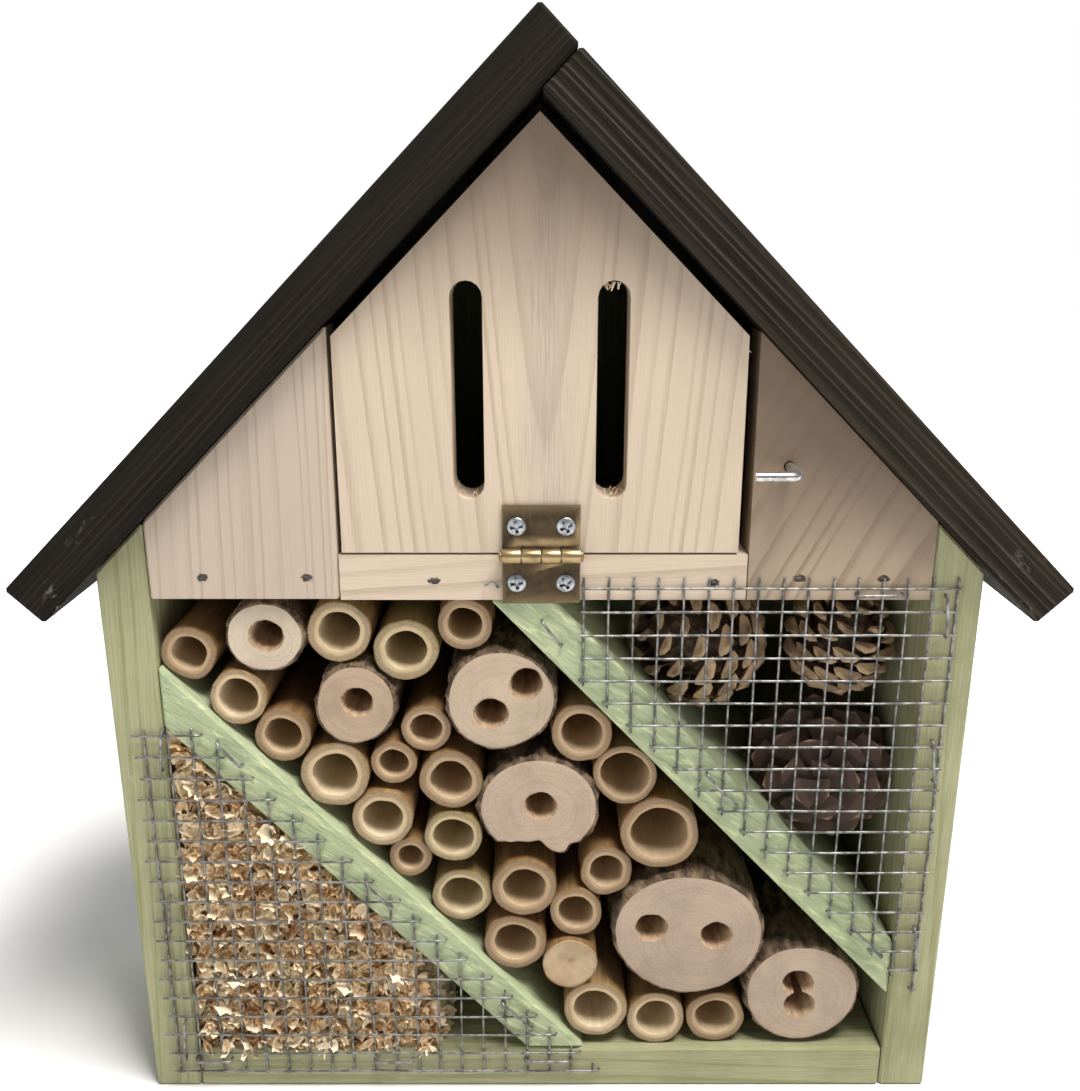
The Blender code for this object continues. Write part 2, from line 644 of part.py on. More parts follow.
def make_mesh_panels():
    """Both compartments' mesh, stapled over the edges of the boards round them."""
    half = WIRE_WIDTH / 2
    slope, middle = snip_line(BAND_WIDTH + DIVIDER_THICKNESS / 2)
    top = SHELF_UNDERSIDE + MESH_TOP_LAP
    right = HALF_WIDTH - MESH_SIDE_LAP_RIGHT
    hinge_right = LEAF_CENTRE_OFFSET + LEAF_WIDTH / 2
    count = int((right - hinge_right - half - MESH_CUT_STUB) / CELL_PITCH) + 1
    columns, reach = [], {}
    for k in range(count):
        x = right - k * CELL_PITCH
        last_row = round((top - (middle.y - slope * (x - middle.x))) / CELL_PITCH)
        high = below_roof(x, top + half + MESH_CUT_STUB)
        columns.append((x, top - last_row * CELL_PITCH - half - MESH_CUT_STUB, high))
        for row in range(last_row + 1):
            reach[row] = x
    rows = []
    for row, x in reach.items():
        z = top - row * CELL_PITCH
        rows.append((z, x - half - MESH_CUT_STUB, inside_roof(right + half + MESH_CUT_STUB, z + half)))
    mesh_panel("mesh_upper", columns, rows)

    slope, middle = snip_line(-DIVIDER_THICKNESS / 2)
    left = -HALF_ROOM - MESH_SIDE_LAP_LEFT
    bottom = BOTTOM_THICKNESS - MESH_BOTTOM_LAP
    corner = DIVIDER_FOOT - ACROSS_BAND * DIVIDER_THICKNESS
    highest = corner.y + (corner.x + HALF_ROOM) * math.tan(DIVIDER_ANGLE)
    row_limit = int((highest - bottom) / CELL_PITCH)
    columns, reach = [], {}
    for k in range(int(FAR / CELL_PITCH)):
        x = left + k * CELL_PITCH
        last_row = min(row_limit, round((middle.y - slope * (x - middle.x) - bottom) / CELL_PITCH))
        if last_row < 0:
            break
        high = below_roof(x, bottom + last_row * CELL_PITCH + half + MESH_CUT_STUB)
        columns.append((x, bottom - half - MESH_CUT_STUB, high))
        for row in range(last_row + 1):
            reach[row] = x
    rows = []
    for row, x in reach.items():
        z = bottom + row * CELL_PITCH
        rows.append((z, inside_roof(left - half - MESH_EDGE_STUB, z + half), x + half + MESH_CUT_STUB))
    mesh_panel("mesh_lower", columns, rows)


def stick_sizes():
    """(name, radius, bores, centre, recess) of every stick, at the spot where it was pushed in."""
    sizes = []
    for number, (diameter, bore, along, across, recess) in enumerate(BAMBOO, 1):
        bores = [(bore, 0, 0)] if bore else []
        sizes.append((f"bamboo_{number:02d}", diameter, bores, along, across, recess))
    for number, (diameter, bores, along, across, recess) in enumerate(LOGS, 1):
        sizes.append((f"log_{number}", diameter, bores, along, across, recess))
    sticks = []
    for name, diameter, bores, along, across, recess in sizes:
        centre = DIVIDER_FOOT + UP_BAND * along * MM + ACROSS_BAND * across * MM
        bores = [(bore * MM / 2, x * MM, z * MM) for bore, x, z in bores]
        sticks.append([name, diameter * MM / 2, bores, centre, recess * MM])
    return sticks


def band_faces():
    """The six faces round the band, each as (point, direction out of the band)."""
    return (
        (DIVIDER_FOOT, -ACROSS_BAND),
        (DIVIDER_FOOT + ACROSS_BAND * BAND_WIDTH, ACROSS_BAND),
        (Vector((-HALF_ROOM, 0)), Vector((-1, 0))),
        (Vector((HALF_ROOM, 0)), Vector((1, 0))),
        (Vector((0, BOTTOM_THICKNESS)), Vector((0, -1))),
        (Vector((0, SHELF_UNDERSIDE)), Vector((0, 1))),
    )


def pushed_apart(centres, radii):
    """Moves the sticks clear of each other and the band's faces. Returns the deepest overlap left."""
    deepest = 0.0
    for _ in range(700):
        deepest = 0.0
        for i, centre in enumerate(centres):
            for j in range(i):
                apart = centre - centres[j]
                lack = radii[i] + radii[j] + FIT_GAP - apart.length
                if lack > 0:
                    share = radii[j] / (radii[i] + radii[j])
                    step = apart.normalized() * lack
                    centre += step * share
                    centres[j] -= step * (1 - share)
                    deepest = max(deepest, lack)
            for point, normal in band_faces():
                lack = (centre - point).dot(normal) + radii[i] + FIT_GAP
                if lack > 0:
                    centre -= normal * lack
                    deepest = max(deepest, lack)
        if deepest < 0.002 * MM:
            break
    return deepest


def stacked_sticks():
    """Sticks at rest in the band: thinned together until they fit, then each let down on those below."""
    sticks = stick_sizes()
    thinning = 1.0
    while True:
        centres = [stick[3].copy() for stick in sticks]
        radii = [stick[1] * thinning for stick in sticks]
        if pushed_apart(centres, radii) < 0.02 * MM:
            break
        thinning -= 0.02
    order = sorted(range(len(sticks)), key=lambda i: centres[i].y - radii[i])
    for place, i in enumerate(order):
        reach = radii[i] + FIT_GAP
        x = centres[i].x
        on_divider = DIVIDER_FOOT.y + (reach - (x - DIVIDER_FOOT.x) * ACROSS_BAND.x) / ACROSS_BAND.y
        rests = [BOTTOM_THICKNESS + reach, on_divider]
        for j in order[:place]:
            span = reach + radii[j]
            sideways = x - centres[j].x
            if abs(sideways) < span:
                rests.append(centres[j].y + math.sqrt(span**2 - sideways**2))
        centres[i].y = min(centres[i].y, max(rests))
    for stick, centre, radius in zip(sticks, centres, radii):
        stick[2] = [(bore * thinning, x * thinning, z * thinning) for bore, x, z in stick[2]]
        stick[1], stick[3] = radius, centre
    return sticks


def make_sticks():
    """Bamboo with one bore closed by a node, and log ends drilled from the front."""
    for name, radius, bores, centre, recess in stacked_sticks():
        length = BODY_DEPTH - recess
        is_log = name.startswith("log")
        if is_log or not bores:
            profile = [(0, 0), (radius, 0), (radius, -length), (0, -length)]
        else:
            bore = bores[0][0]
            inside = [(0, -STICK_BORE_DEPTH), (bore, -STICK_BORE_DEPTH), (bore, 0)]
            profile = [*inside, (radius, 0), (radius, -length), (0, -length)]
        material = log_wood if is_log else bamboo
        stick = keep(turned(name, profile, LOG_SIDES if is_log else STICK_SIDES), material)
        stick.location = (centre.x, FRONT + recess, centre.y)
        stick.rotation_euler = Euler((math.pi / 2, 0, 0))
        if not is_log:
            continue
        for number, (bore, sideways, upwards) in enumerate(bores, 1):
            place = (centre.x + sideways, FRONT + recess, centre.y + upwards)
            cut(stick, bore_cutter(f"{name}_bore_cutter_{number}", place, bore, LOG_BORE_DEPTH, 16))


def tangent_centre(radius, *faces):
    """The centre of a circle that rests on two faces, each given as (point, direction away from it)."""
    (point_a, normal_a), (point_b, normal_b) = faces
    level_a = point_a.dot(normal_a) + radius + FIT_GAP
    level_b = point_b.dot(normal_b) + radius + FIT_GAP
    spread = normal_a.x * normal_b.y - normal_a.y * normal_b.x
    x = (level_a * normal_b.y - level_b * normal_a.y) / spread
    z = (normal_a.x * level_b - normal_b.x * level_a) / spread
    return Vector((x, z))


def make_cones():
    """Three closed cones, tips into the corners: egg-shaped solids that stand for the scales' outer shape."""
    on_divider = (DIVIDER_FOOT + ACROSS_BAND * (BAND_WIDTH + DIVIDER_THICKNESS), ACROSS_BAND)
    at_shelf = (Vector((0, SHELF_UNDERSIDE)), Vector((0, -1)))
    at_side = (Vector((HALF_ROOM, 0)), Vector((-1, 0)))
    drop = (on_divider[0] - Vector((HALF_ROOM, SHELF_UNDERSIDE))).dot(ACROSS_BAND)
    legs = -drop / ACROSS_BAND.x, -drop / ACROSS_BAND.y
    inscribed = (legs[0] + legs[1] - math.hypot(*legs)) / 2
    tip_left = UP_BAND + Vector((-1, 0))
    tip_low = -UP_BAND + Vector((0, -1))
    cones = {
        "left": ((on_divider, at_shelf), tip_left),
        "right": ((at_shelf, at_side), Vector((0, -0.001))),
        "lower": ((on_divider, at_side), tip_low),
    }
    for label, (faces, tip) in cones.items():
        radius = CONE_SIZES[label] * inscribed
        centre = tangent_centre(radius, *faces)
        point = 0 if label == "right" else CONE_POINT
        profile = []
        for i in range(11):
            rise = math.cos(math.pi * i / 10)
            height = rise + point * rise**5 if i < 5 else CONE_BASE * rise
            across = math.sin(math.pi * i / 10) if 0 < i < 10 else 0
            profile.append((radius * across, radius * height))
        cone = keep(turned(f"pine_cone_{label}", profile, 16), cone_brown)
        cone.location = (centre.x, FRONT + CONE_FRONT_RECESS + radius, centre.y)
        cone.rotation_euler = Vector((tip.x, 0, tip.y)).to_track_quat("Z", "Y").to_euler()


def make_heap():
    """Wood shavings packed against the left side, with a loose slope towards the divider's foot."""
    under_divider = (DIVIDER_FOOT - ACROSS_BAND * (DIVIDER_THICKNESS + FIT_GAP), ACROSS_BAND)
    toe = Vector((HEAP_TOE - HALF_ROOM, BOTTOM_THICKNESS))
    slope = (toe, Vector((math.sin(HEAP_SLOPE), math.cos(HEAP_SLOPE))))
    outline = rectangle(-FAR, FAR, 0, FAR)
    outline = trimmed(outline, LEFT_WALL, FLOOR, CEILING, under_divider, slope)
    heap = plate("wood_shavings", [outline], FRONT + HEAP_FRONT_RECESS, BACK - HEAP_BACK_RECESS)
    keep(heap, shavings)


def make_hanger():
    """A steel plate with a keyhole, on the back under the ridge, over a pocket for a screw's head."""
    half_height = HANGER_HEIGHT / 2
    outline = stadium(0, HANGER_MIDDLE - half_height, HANGER_MIDDLE + half_height, HANGER_WIDTH / 2, 12)
    slot_z = HANGER_MIDDLE + KEYHOLE_LENGTH / 2
    hole_z = HANGER_MIDDLE - KEYHOLE_LENGTH / 2
    neck = math.asin(KEYHOLE_SLOT_RADIUS / KEYHOLE_RADIUS)
    keyhole = []
    for radius, z, start, turn, steps in (
        (KEYHOLE_SLOT_RADIUS, slot_z, 0, math.pi, 6),
        (KEYHOLE_RADIUS, hole_z, math.pi / 2 + neck, 2 * (math.pi - neck), 16),
    ):
        for i in range(steps + 1):
            angle = start + turn * i / steps
            keyhole.append(Vector((radius * math.cos(angle), z + radius * math.sin(angle))))
    nail_holes = [
        circle(0, HANGER_MIDDLE + side * HANGER_NAIL_SPACING / 2, HANGER_NAIL_HOLE_RADIUS, 10)
        for side in (-1, 1)
    ]
    back = BACK_PANEL_BACK + FIT_GAP
    keep(plate("hanger_plate", [outline, keyhole, *nail_holes], back, back + HANGER_THICKNESS), steel)


def clear_scene():
    for item in list(bpy.data.objects):
        bpy.data.objects.remove(item, do_unlink=True)


clear_scene()
parts = new_collection("insect_hotel")
cutters = new_collection("insect_hotel_cutters")
cutters.hide_render = True
green_wood = finish("sage_green_pine", (0.38, 0.36, 0.21), 0.75)
mint_wood = finish("mint_green_rough_pine", (0.42, 0.48, 0.30), 0.85)
stained_wood = finish("black_brown_stained_pine", (0.03, 0.025, 0.018), 0.6)
bare_wood = finish("bare_pine", (0.68, 0.55, 0.42), 0.7)
brass = finish("antique_brass", (0.25, 0.18, 0.09), 0.38, 1.0)
steel = finish("zinc_plated_steel", (0.6, 0.6, 0.6), 0.3, 1.0)
wire = finish("galvanised_wire", (0.5, 0.5, 0.5), 0.4, 1.0)
bamboo = finish("bamboo", (0.42, 0.31, 0.16), 0.5)
log_wood = finish("log_end_grain", (0.45, 0.33, 0.22), 0.8)
cone_brown = finish("pine_cone", (0.16, 0.09, 0.05), 0.8)
shavings = finish("wood_shavings", (0.55, 0.41, 0.25), 0.9)

hinge_axis = joint_empty("hinge_axis", (LEAF_CENTRE_OFFSET, HINGE_Y, HINGE_Z))
make_shell()
make_roof()
make_dividers()
make_loft_front()
make_door(hinge_axis)
make_hinge(hinge_axis)
make_hook()
make_mesh_panels()
make_sticks()
make_cones()
make_heap()
make_hanger()
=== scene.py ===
"""The finish of an insect hotel: stained and washed boards, a brass hinge, drilled logs and bamboo, welded
mesh, pine cones and wood shavings, put together in the order in which the house is made."""

import math
import random

import bmesh
import bpy
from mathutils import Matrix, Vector, noise


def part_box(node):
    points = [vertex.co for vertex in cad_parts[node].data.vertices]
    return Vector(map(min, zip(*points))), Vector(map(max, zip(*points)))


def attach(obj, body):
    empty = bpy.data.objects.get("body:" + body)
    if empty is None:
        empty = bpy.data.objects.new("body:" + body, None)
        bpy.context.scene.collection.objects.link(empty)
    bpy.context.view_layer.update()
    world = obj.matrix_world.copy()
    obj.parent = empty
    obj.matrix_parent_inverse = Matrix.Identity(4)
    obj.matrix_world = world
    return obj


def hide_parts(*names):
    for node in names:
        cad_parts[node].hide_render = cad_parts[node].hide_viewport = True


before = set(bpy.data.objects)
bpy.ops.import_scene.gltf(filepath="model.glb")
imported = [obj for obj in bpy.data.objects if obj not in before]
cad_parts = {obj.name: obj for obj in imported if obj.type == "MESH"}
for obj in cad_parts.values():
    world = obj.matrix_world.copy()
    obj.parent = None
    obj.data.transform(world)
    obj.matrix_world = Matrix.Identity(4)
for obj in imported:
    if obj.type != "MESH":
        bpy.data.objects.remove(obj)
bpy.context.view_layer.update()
MM = 0.001


# The studio: a pale floor, a pale surround and three soft lights, the strongest from the upper right in
# front. The camera stands straight in front of the house, near the height of its roof, and looks down.

def look_from(thing, place, target):
    """Puts a camera or a lamp at place and points it at target."""
    thing.location = place
    thing.rotation_euler = (Vector(target) - Vector(place)).to_track_quat("-Z", "Y").to_euler()
    bpy.context.scene.collection.objects.link(thing)


def add_lamp(name, place, target, width, height, power, colour):
    lamp = bpy.data.lights.new(name, "AREA")
    lamp.shape = "RECTANGLE"
    lamp.size = width
    lamp.size_y = height
    lamp.energy = power
    lamp.color = colour
    look_from(bpy.data.objects.new(name, lamp), place, target)


def connect(tree, socket, value):
    """Feeds a socket from another node's output, or sets it to a plain value."""
    if isinstance(value, bpy.types.Node):
        value = value.outputs[0]
    if isinstance(value, bpy.types.NodeSocket):
        tree.links.new(value, socket)
    elif isinstance(value, tuple) and len(value) == 3 and len(socket.default_value) == 4:
        socket.default_value = (*value, 1)
    else:
        socket.default_value = value


def add_node(tree, kind, inputs=None, **settings):
    made = tree.nodes.new(kind)
    for name, value in settings.items():
        setattr(made, name, value)
    for socket, value in (inputs or {}).items():
        connect(tree, made.inputs[socket], value)
    return made


def mesh_of(name, shape):
    """The mesh of a worked shape, which is let go."""
    mesh = bpy.data.meshes.new(name)
    shape.to_mesh(mesh)
    shape.free()
    return mesh


def in_scene(name, mesh):
    made = bpy.data.objects.new(name, mesh)
    bpy.context.scene.collection.objects.link(made)
    return made


camera_data = bpy.data.cameras.new("camera")
camera_data.sensor_fit = "HORIZONTAL"
camera_data.sensor_width = 36
camera_data.lens = 35.87
camera_data.clip_start = 0.01
camera = bpy.data.objects.new("camera", camera_data)
front_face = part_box("side_board_left")[0].y
camera_down = math.radians(16.4)
camera_place = Vector((0, front_face - 260 * MM, 242.6 * MM))
look_from(camera, camera_place, camera_place + Vector((0, math.cos(camera_down), -math.sin(camera_down))))
bpy.context.scene.camera = camera

add_lamp("key", (0.28, -0.29, 1.2), (0.0, -0.04, 0.14), 0.45, 0.35, 20, (1.0, 0.97, 0.93))
add_lamp("fill", (-0.9, -0.9, 0.35), (0.0, 0.0, 0.12), 0.9, 0.9, 1.7, (0.95, 0.98, 1.0))
add_lamp("back", (0.2, 0.9, 0.8), (0.0, 0.0, 0.15), 0.8, 0.8, 4, (1.0, 1.0, 1.0))
world = bpy.data.worlds.new("studio")
world.use_nodes = True
bpy.context.scene.world = world
surround = world.node_tree
glow = surround.nodes["Background"]
connect(surround, glow.inputs["Color"], (1.0, 1.0, 1.0))
connect(surround, glow.inputs["Strength"], 0.19)
backdrop = add_node(surround, "ShaderNodeBackground", {"Color": (1.0, 1.0, 1.0)})
seen = add_node(surround, "ShaderNodeLightPath").outputs["Is Camera Ray"]
either = add_node(surround, "ShaderNodeMixShader", {0: seen, 1: glow, 2: backdrop})
connect(surround, surround.nodes["World Output"].inputs["Surface"], either)
bpy.context.scene.view_settings.view_transform = "Standard"

floor_shape = bmesh.new()
bmesh.ops.create_grid(floor_shape, x_segments=1, y_segments=1, size=3.0)
floor = in_scene("floor", mesh_of("floor", floor_shape))
floor_paint = bpy.data.materials.new("pale_floor")
floor_paint.use_nodes = True
floor_nodes = floor_paint.node_tree
floor_shader = floor_nodes.nodes["Principled BSDF"]
spot = add_node(floor_nodes, "ShaderNodeTexCoord").outputs["Object"]
away = add_node(floor_nodes, "ShaderNodeVectorMath", {0: spot}, operation="LENGTH").outputs["Value"]
fade = add_node(floor_nodes, "ShaderNodeMapRange", {"Value": away, "From Min": 0.2, "From Max": 0.8})
connect(floor_nodes, floor_shader.inputs["Base Color"], (0.9, 0.9, 0.9))
connect(floor_nodes, floor_shader.inputs["Roughness"], 0.9)
connect(floor_nodes, floor_shader.inputs["Emission Color"], (1.0, 1.0, 1.0))
connect(floor_nodes, floor_shader.inputs["Emission Strength"], fade)
floor.data.materials.append(floor_paint)


# The shell: bottom, two sides, shelf and back, sawn pine boards butted and nailed, then washed thinly in
# sage green, so that the growth rings and the saw's fine streaks show through the colour.

def maths(tree, operation, *values):
    return add_node(tree, "ShaderNodeMath", dict(enumerate(values)), operation=operation).outputs[0]


def times(tree, first, second):
    return maths(tree, "MULTIPLY", first, second)


def vector_maths(tree, operation, *values):
    places = (0, 3) if operation == "SCALE" else range(len(values))
    made = add_node(tree, "ShaderNodeVectorMath", dict(zip(places, values)), operation=operation)
    return made.outputs["Value" if operation in ("LENGTH", "DOT_PRODUCT", "DISTANCE") else "Vector"]


def stretched(tree, vector, shares):
    return vector_maths(tree, "MULTIPLY", vector, shares)


def vector_of(tree, x, y, z):
    return add_node(tree, "ShaderNodeCombineXYZ", {0: x, 1: y, 2: z}).outputs[0]


def along_axis(tree, vector, axis):
    return add_node(tree, "ShaderNodeSeparateXYZ", {0: vector}).outputs[axis]


def piece_place(tree):
    return add_node(tree, "ShaderNodeTexCoord").outputs["Object"]


def ramp(tree, value, start, end, low=0.0, high=1.0):
    """A smooth step of value: low below start, high above end."""
    inputs = dict(enumerate((value, start, end, low, high)))
    return add_node(tree, "ShaderNodeMapRange", inputs, interpolation_type="SMOOTHSTEP").outputs[0]


def mixed(tree, share, first, second):
    return add_node(tree, "ShaderNodeMix", {0: share, 6: first, 7: second}, data_type="RGBA").outputs[2]


def tint_of(colour, share):
    """The same colour, darker or lighter."""
    return tuple(min(1.0, share * part) for part in colour)


def speckle(tree, vector, scale, detail=2.0, roughness=0.5, output="Fac"):
    inputs = {"Vector": vector, "Scale": scale, "Detail": detail, "Roughness": roughness}
    return add_node(tree, "ShaderNodeTexNoise", inputs).outputs[output]


def new_group(name, kind, inputs, outputs):
    """An empty node group, with its group input and group output nodes. Sockets are given as name: type."""
    tree = bpy.data.node_groups.new(name, kind)
    for label, socket in inputs.items():
        tree.interface.new_socket(label, in_out="INPUT", socket_type="NodeSocket" + socket)
    for label, socket in outputs.items():
        tree.interface.new_socket(label, in_out="OUTPUT", socket_type="NodeSocket" + socket)
    return tree, tree.nodes.new("NodeGroupInput").outputs, tree.nodes.new("NodeGroupOutput").inputs


def new_material(name, roughness=0.7, metallic=0.0):
    made = bpy.data.materials.new(name)
    made.use_nodes = True
    shader = made.node_tree.nodes["Principled BSDF"]
    shader.inputs["Roughness"].default_value = roughness
    shader.inputs["Metallic"].default_value = metallic
    return made, made.node_tree, shader


def add_bump(tree, shader, height, strength, distance):
    bump = add_node(tree, "ShaderNodeBump", {"Height": height, "Strength": strength, "Distance": distance})
    tree.links.new(bump.outputs[0], shader.inputs["Normal"])


def make_wood_rings():
    """Growth rings round the local Z axis, and fine streaks along it, as masks from 0 to 1."""
    tree, given, result = new_group(
        "wood_rings",
        "ShaderNodeTree",
        {
            "Vector": "Vector",
            "Ring Spacing": "Float",
            "Wander": "Float",
            "Streak Width": "Float",
            "Taper": "Float",
        },
        {"Late Wood": "Float", "Streak": "Float", "Patch": "Float"},
    )
    long_grain = stretched(tree, given["Vector"], (1.0, 1.0, 0.16))
    drift = add_node(tree, "ShaderNodeTexNoise", {"Vector": long_grain, "Scale": 34.0, "Detail": 2.0})
    drift = vector_maths(tree, "SUBTRACT", drift.outputs["Color"], (0.5, 0.5, 0.5))
    drift = vector_maths(tree, "SCALE", drift, given["Wander"])
    moved = vector_maths(tree, "ADD", given["Vector"], drift)
    across = stretched(tree, moved, (1.0, 1.0, 0.0))
    upwards = along_axis(tree, moved, "Z")
    radius = maths(
        tree, "SUBTRACT", vector_maths(tree, "LENGTH", across), times(tree, upwards, given["Taper"])
    )
    rings = maths(tree, "DIVIDE", radius, given["Ring Spacing"])
    years = add_node(
        tree, "ShaderNodeTexNoise", {"W": rings, "Scale": 0.45, "Detail": 1.0}, noise_dimensions="1D"
    )
    rings = maths(tree, "MULTIPLY_ADD", years.outputs[0], 2.4, rings)
    part = maths(tree, "FRACT", rings)
    late = times(tree, ramp(tree, part, 0.5, 0.92), ramp(tree, part, 0.92, 1.0, 1.0, 0.0))
    weight = add_node(tree, "ShaderNodeTexNoise", {"W": rings, "Scale": 0.8}, noise_dimensions="1D")
    late = times(tree, late, ramp(tree, weight.outputs[0], 0.25, 0.7, 0.35, 1.0))
    scaled = vector_maths(tree, "SCALE", given["Vector"], maths(tree, "DIVIDE", 1.0, given["Streak Width"]))
    thin = stretched(tree, scaled, (1.0, 1.0, 0.03))
    streak = speckle(tree, thin, 1.0, 4.0, 0.6)
    connect(tree, result["Late Wood"], late)
    connect(tree, result["Streak"], ramp(tree, streak, 0.3, 0.7))
    connect(tree, result["Patch"], ramp(tree, speckle(tree, long_grain, 55.0, 3.0), 0.35, 0.65))
    return tree


wood_rings = make_wood_rings()


def ringed(tree, pith, along, spacing, wander, streak_width=0.5 * MM, taper=0.0):
    """The wood_rings group, with its pith line through the point pith in the direction along."""
    place = piece_place(tree)
    turn = Vector(along).to_track_quat("Z", "Y").to_euler()
    local = add_node(tree, "ShaderNodeMapping", {"Vector": place, "Rotation": turn}, vector_type="TEXTURE")
    local.inputs["Location"].default_value = pith
    rings = add_node(tree, "ShaderNodeGroup", node_tree=wood_rings)
    inputs = {
        "Vector": local,
        "Ring Spacing": spacing,
        "Wander": wander,
        "Streak Width": streak_width,
        "Taper": taper,
    }
    for name, value in inputs.items():
        connect(tree, rings.inputs[name], value)
    return rings.outputs, place, local.outputs[0]


def washed_wood(name, pith, along, spacing, pale, base, late, inner=1.0):
    """A thin colour wash: the late wood stays darker, raised fibres catch less of it and look pale. With
    inner below 1, the faces turned to the front are painted darker: painted shade inside the house.
    """
    made, tree, shader = new_material(name, 0.8)
    rings, place, local = ringed(tree, pith, along, spacing, 5 * MM, 0.7 * MM)
    colour = mixed(tree, times(tree, rings["Late Wood"], 0.9), base, late)
    colour = mixed(tree, times(tree, rings["Streak"], 0.38), colour, pale)
    worn = speckle(tree, stretched(tree, local, (1.0, 1.0, 0.25)), 260.0, 5.0, 0.7)
    colour = mixed(tree, ramp(tree, worn, 0.6, 0.72, 0.0, 0.5), colour, pale)
    dirt = ramp(tree, speckle(tree, place, 28.0, 4.0, 0.6), 0.42, 0.72, 0.0, 0.32)
    colour = mixed(tree, dirt, colour, tint_of(late, 0.62))
    # Painted shade: faces turned to the front, which on the back panel lie inside the house, go towards
    # near-black.
    if inner < 1.0:
        facing = add_node(tree, "ShaderNodeNewGeometry").outputs["Normal"]
        forward = along_axis(tree, facing, "Y")
        inside = ramp(tree, forward, -0.3, -0.7, 0.0, 1.0 - inner)
        colour = mixed(tree, inside, colour, (0.008, 0.008, 0.004))
    connect(tree, shader.inputs["Base Color"], colour)
    connect(tree, shader.inputs["Roughness"], ramp(tree, rings["Streak"], 0.0, 1.0, 0.88, 0.7))
    height = maths(tree, "MULTIPLY_ADD", rings["Late Wood"], 0.7, rings["Streak"])
    add_bump(tree, shader, height, 0.55, 0.25 * MM)
    return made


def coat(material, *nodes):
    for name in nodes:
        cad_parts[name].data.materials.clear()
        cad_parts[name].data.materials.append(material)


sage_pale = (0.50, 0.49, 0.31)
sage = (0.37, 0.37, 0.205)
sage_dark = (0.235, 0.245, 0.105)
upright = (0.0, 0.0, 1.0)
for board, pith in (
    ("side_board_left", (-0.150, 0.010, 0.1)),
    ("side_board_right", (0.138, 0.020, 0.1)),
):
    lean = (0.03, -0.02, 1.0)
    coat(washed_wood("sage_" + board, pith, lean, 2.9 * MM, sage_pale, sage, sage_dark), board)
sage_across = washed_wood(
    "sage_across", (0, 0.02, -0.03), (1, 0.02, 0.01), 3.1 * MM, sage_pale, sage, sage_dark
)
coat(sage_across, "bottom_board", "shelf_board")
# The back panel's inner face is darkened as painted shade inside the house.
sage_back = washed_wood("sage_back", (0.03, 0.12, 0.1), upright, 3.4 * MM, sage_pale, sage, sage_dark, 0.3)
coat(sage_back, "back_panel")


# The dividers: two rough-sawn boards, mitred at both ends and washed in a cooler mint green. The band saw
# left their edges furry, with short torn fibres across the grain that took little colour.

def rough_sawn(name, along):
    made, tree, shader = new_material(name, 0.9)
    rings, _, local = ringed(tree, (0.0, 0.09, 0.02), along, 3.6 * MM, 9 * MM, 0.9 * MM)
    facing = add_node(tree, "ShaderNodeNewGeometry")
    mint = (0.42, 0.485, 0.30)
    colour = mixed(tree, times(tree, rings["Late Wood"], 0.5), mint, (0.29, 0.355, 0.19))
    sawn = ramp(tree, along_axis(tree, facing.outputs["Normal"], "Y"), -0.4, -0.8)
    torn = speckle(tree, stretched(tree, local, (1.0, 1.0, 0.2)), 1000.0, 3.0, 0.7)
    tufts = speckle(tree, stretched(tree, local, (1.0, 1.0, 0.22)), 430.0, 4.0, 0.7)
    colour = mixed(tree, ramp(tree, torn, 0.48, 0.72, 0.0, 0.4), colour, (0.57, 0.62, 0.40))
    pale = times(tree, ramp(tree, tufts, 0.53, 0.64), maths(tree, "MULTIPLY_ADD", sawn, 0.6, 0.15))
    colour = mixed(tree, pale, colour, (0.70, 0.73, 0.42))
    shade = times(tree, ramp(tree, tufts, 0.46, 0.36), maths(tree, "MULTIPLY_ADD", sawn, 0.5, 0.1))
    colour = mixed(tree, shade, colour, (0.21, 0.28, 0.14))
    colour = mixed(tree, times(tree, rings["Patch"], 0.22), colour, (0.40, 0.43, 0.22))
    connect(tree, shader.inputs["Base Color"], colour)
    height = maths(tree, "MULTIPLY_ADD", tufts, 1.4, torn)
    add_bump(tree, shader, height, 0.8, 0.5 * MM)
    return made


grain_angle = math.radians(34)
grain = Vector((-math.cos(grain_angle), 0, math.sin(grain_angle)))
coat(rough_sawn("mint_rough_pine", grain), "divider_lower", "divider_upper")


# The loft front: gable panels, rail and door, planed bare pine. The door and the gables are darkened
# towards the top as painted shade under the roof, and the stop takes the roof's black-brown stain as
# painted shade at the apex. Each board comes from another place in the log, so each has its own pith line,
# and the door shows a grey streak of sapwood down its middle.

# Where the brads went in, as (x, z) in millimetres.
brad_places = [(-85.8, 157.5), (-59.3, 157.5), (-27.0, 156.7), (44.1, 156.2), (65.9, 157.3), (87.3, 157.3)]


def dents(tree, place, spots):
    """1 in a small ragged slit round each brad, 0 elsewhere."""
    ragged = vector_maths(
        tree, "SUBTRACT", speckle(tree, place, 900.0, 2.0, output="Color"), (0.5, 0.5, 0.5)
    )
    ragged = vector_maths(tree, "MULTIPLY_ADD", ragged, (1.6 * MM, 1.6 * MM, 1.6 * MM), place)
    deepest = 0.0
    for x, z in spots:
        away = vector_maths(tree, "SUBTRACT", ragged, (x * MM, front_face, z * MM))
        away = stretched(tree, away, (0.62, 1.0, 1.0))
        distance = vector_maths(tree, "LENGTH", away)
        deepest = maths(tree, "MAXIMUM", deepest, ramp(tree, distance, 0.75 * MM, 1.15 * MM, 1.0, 0.0))
    return deepest


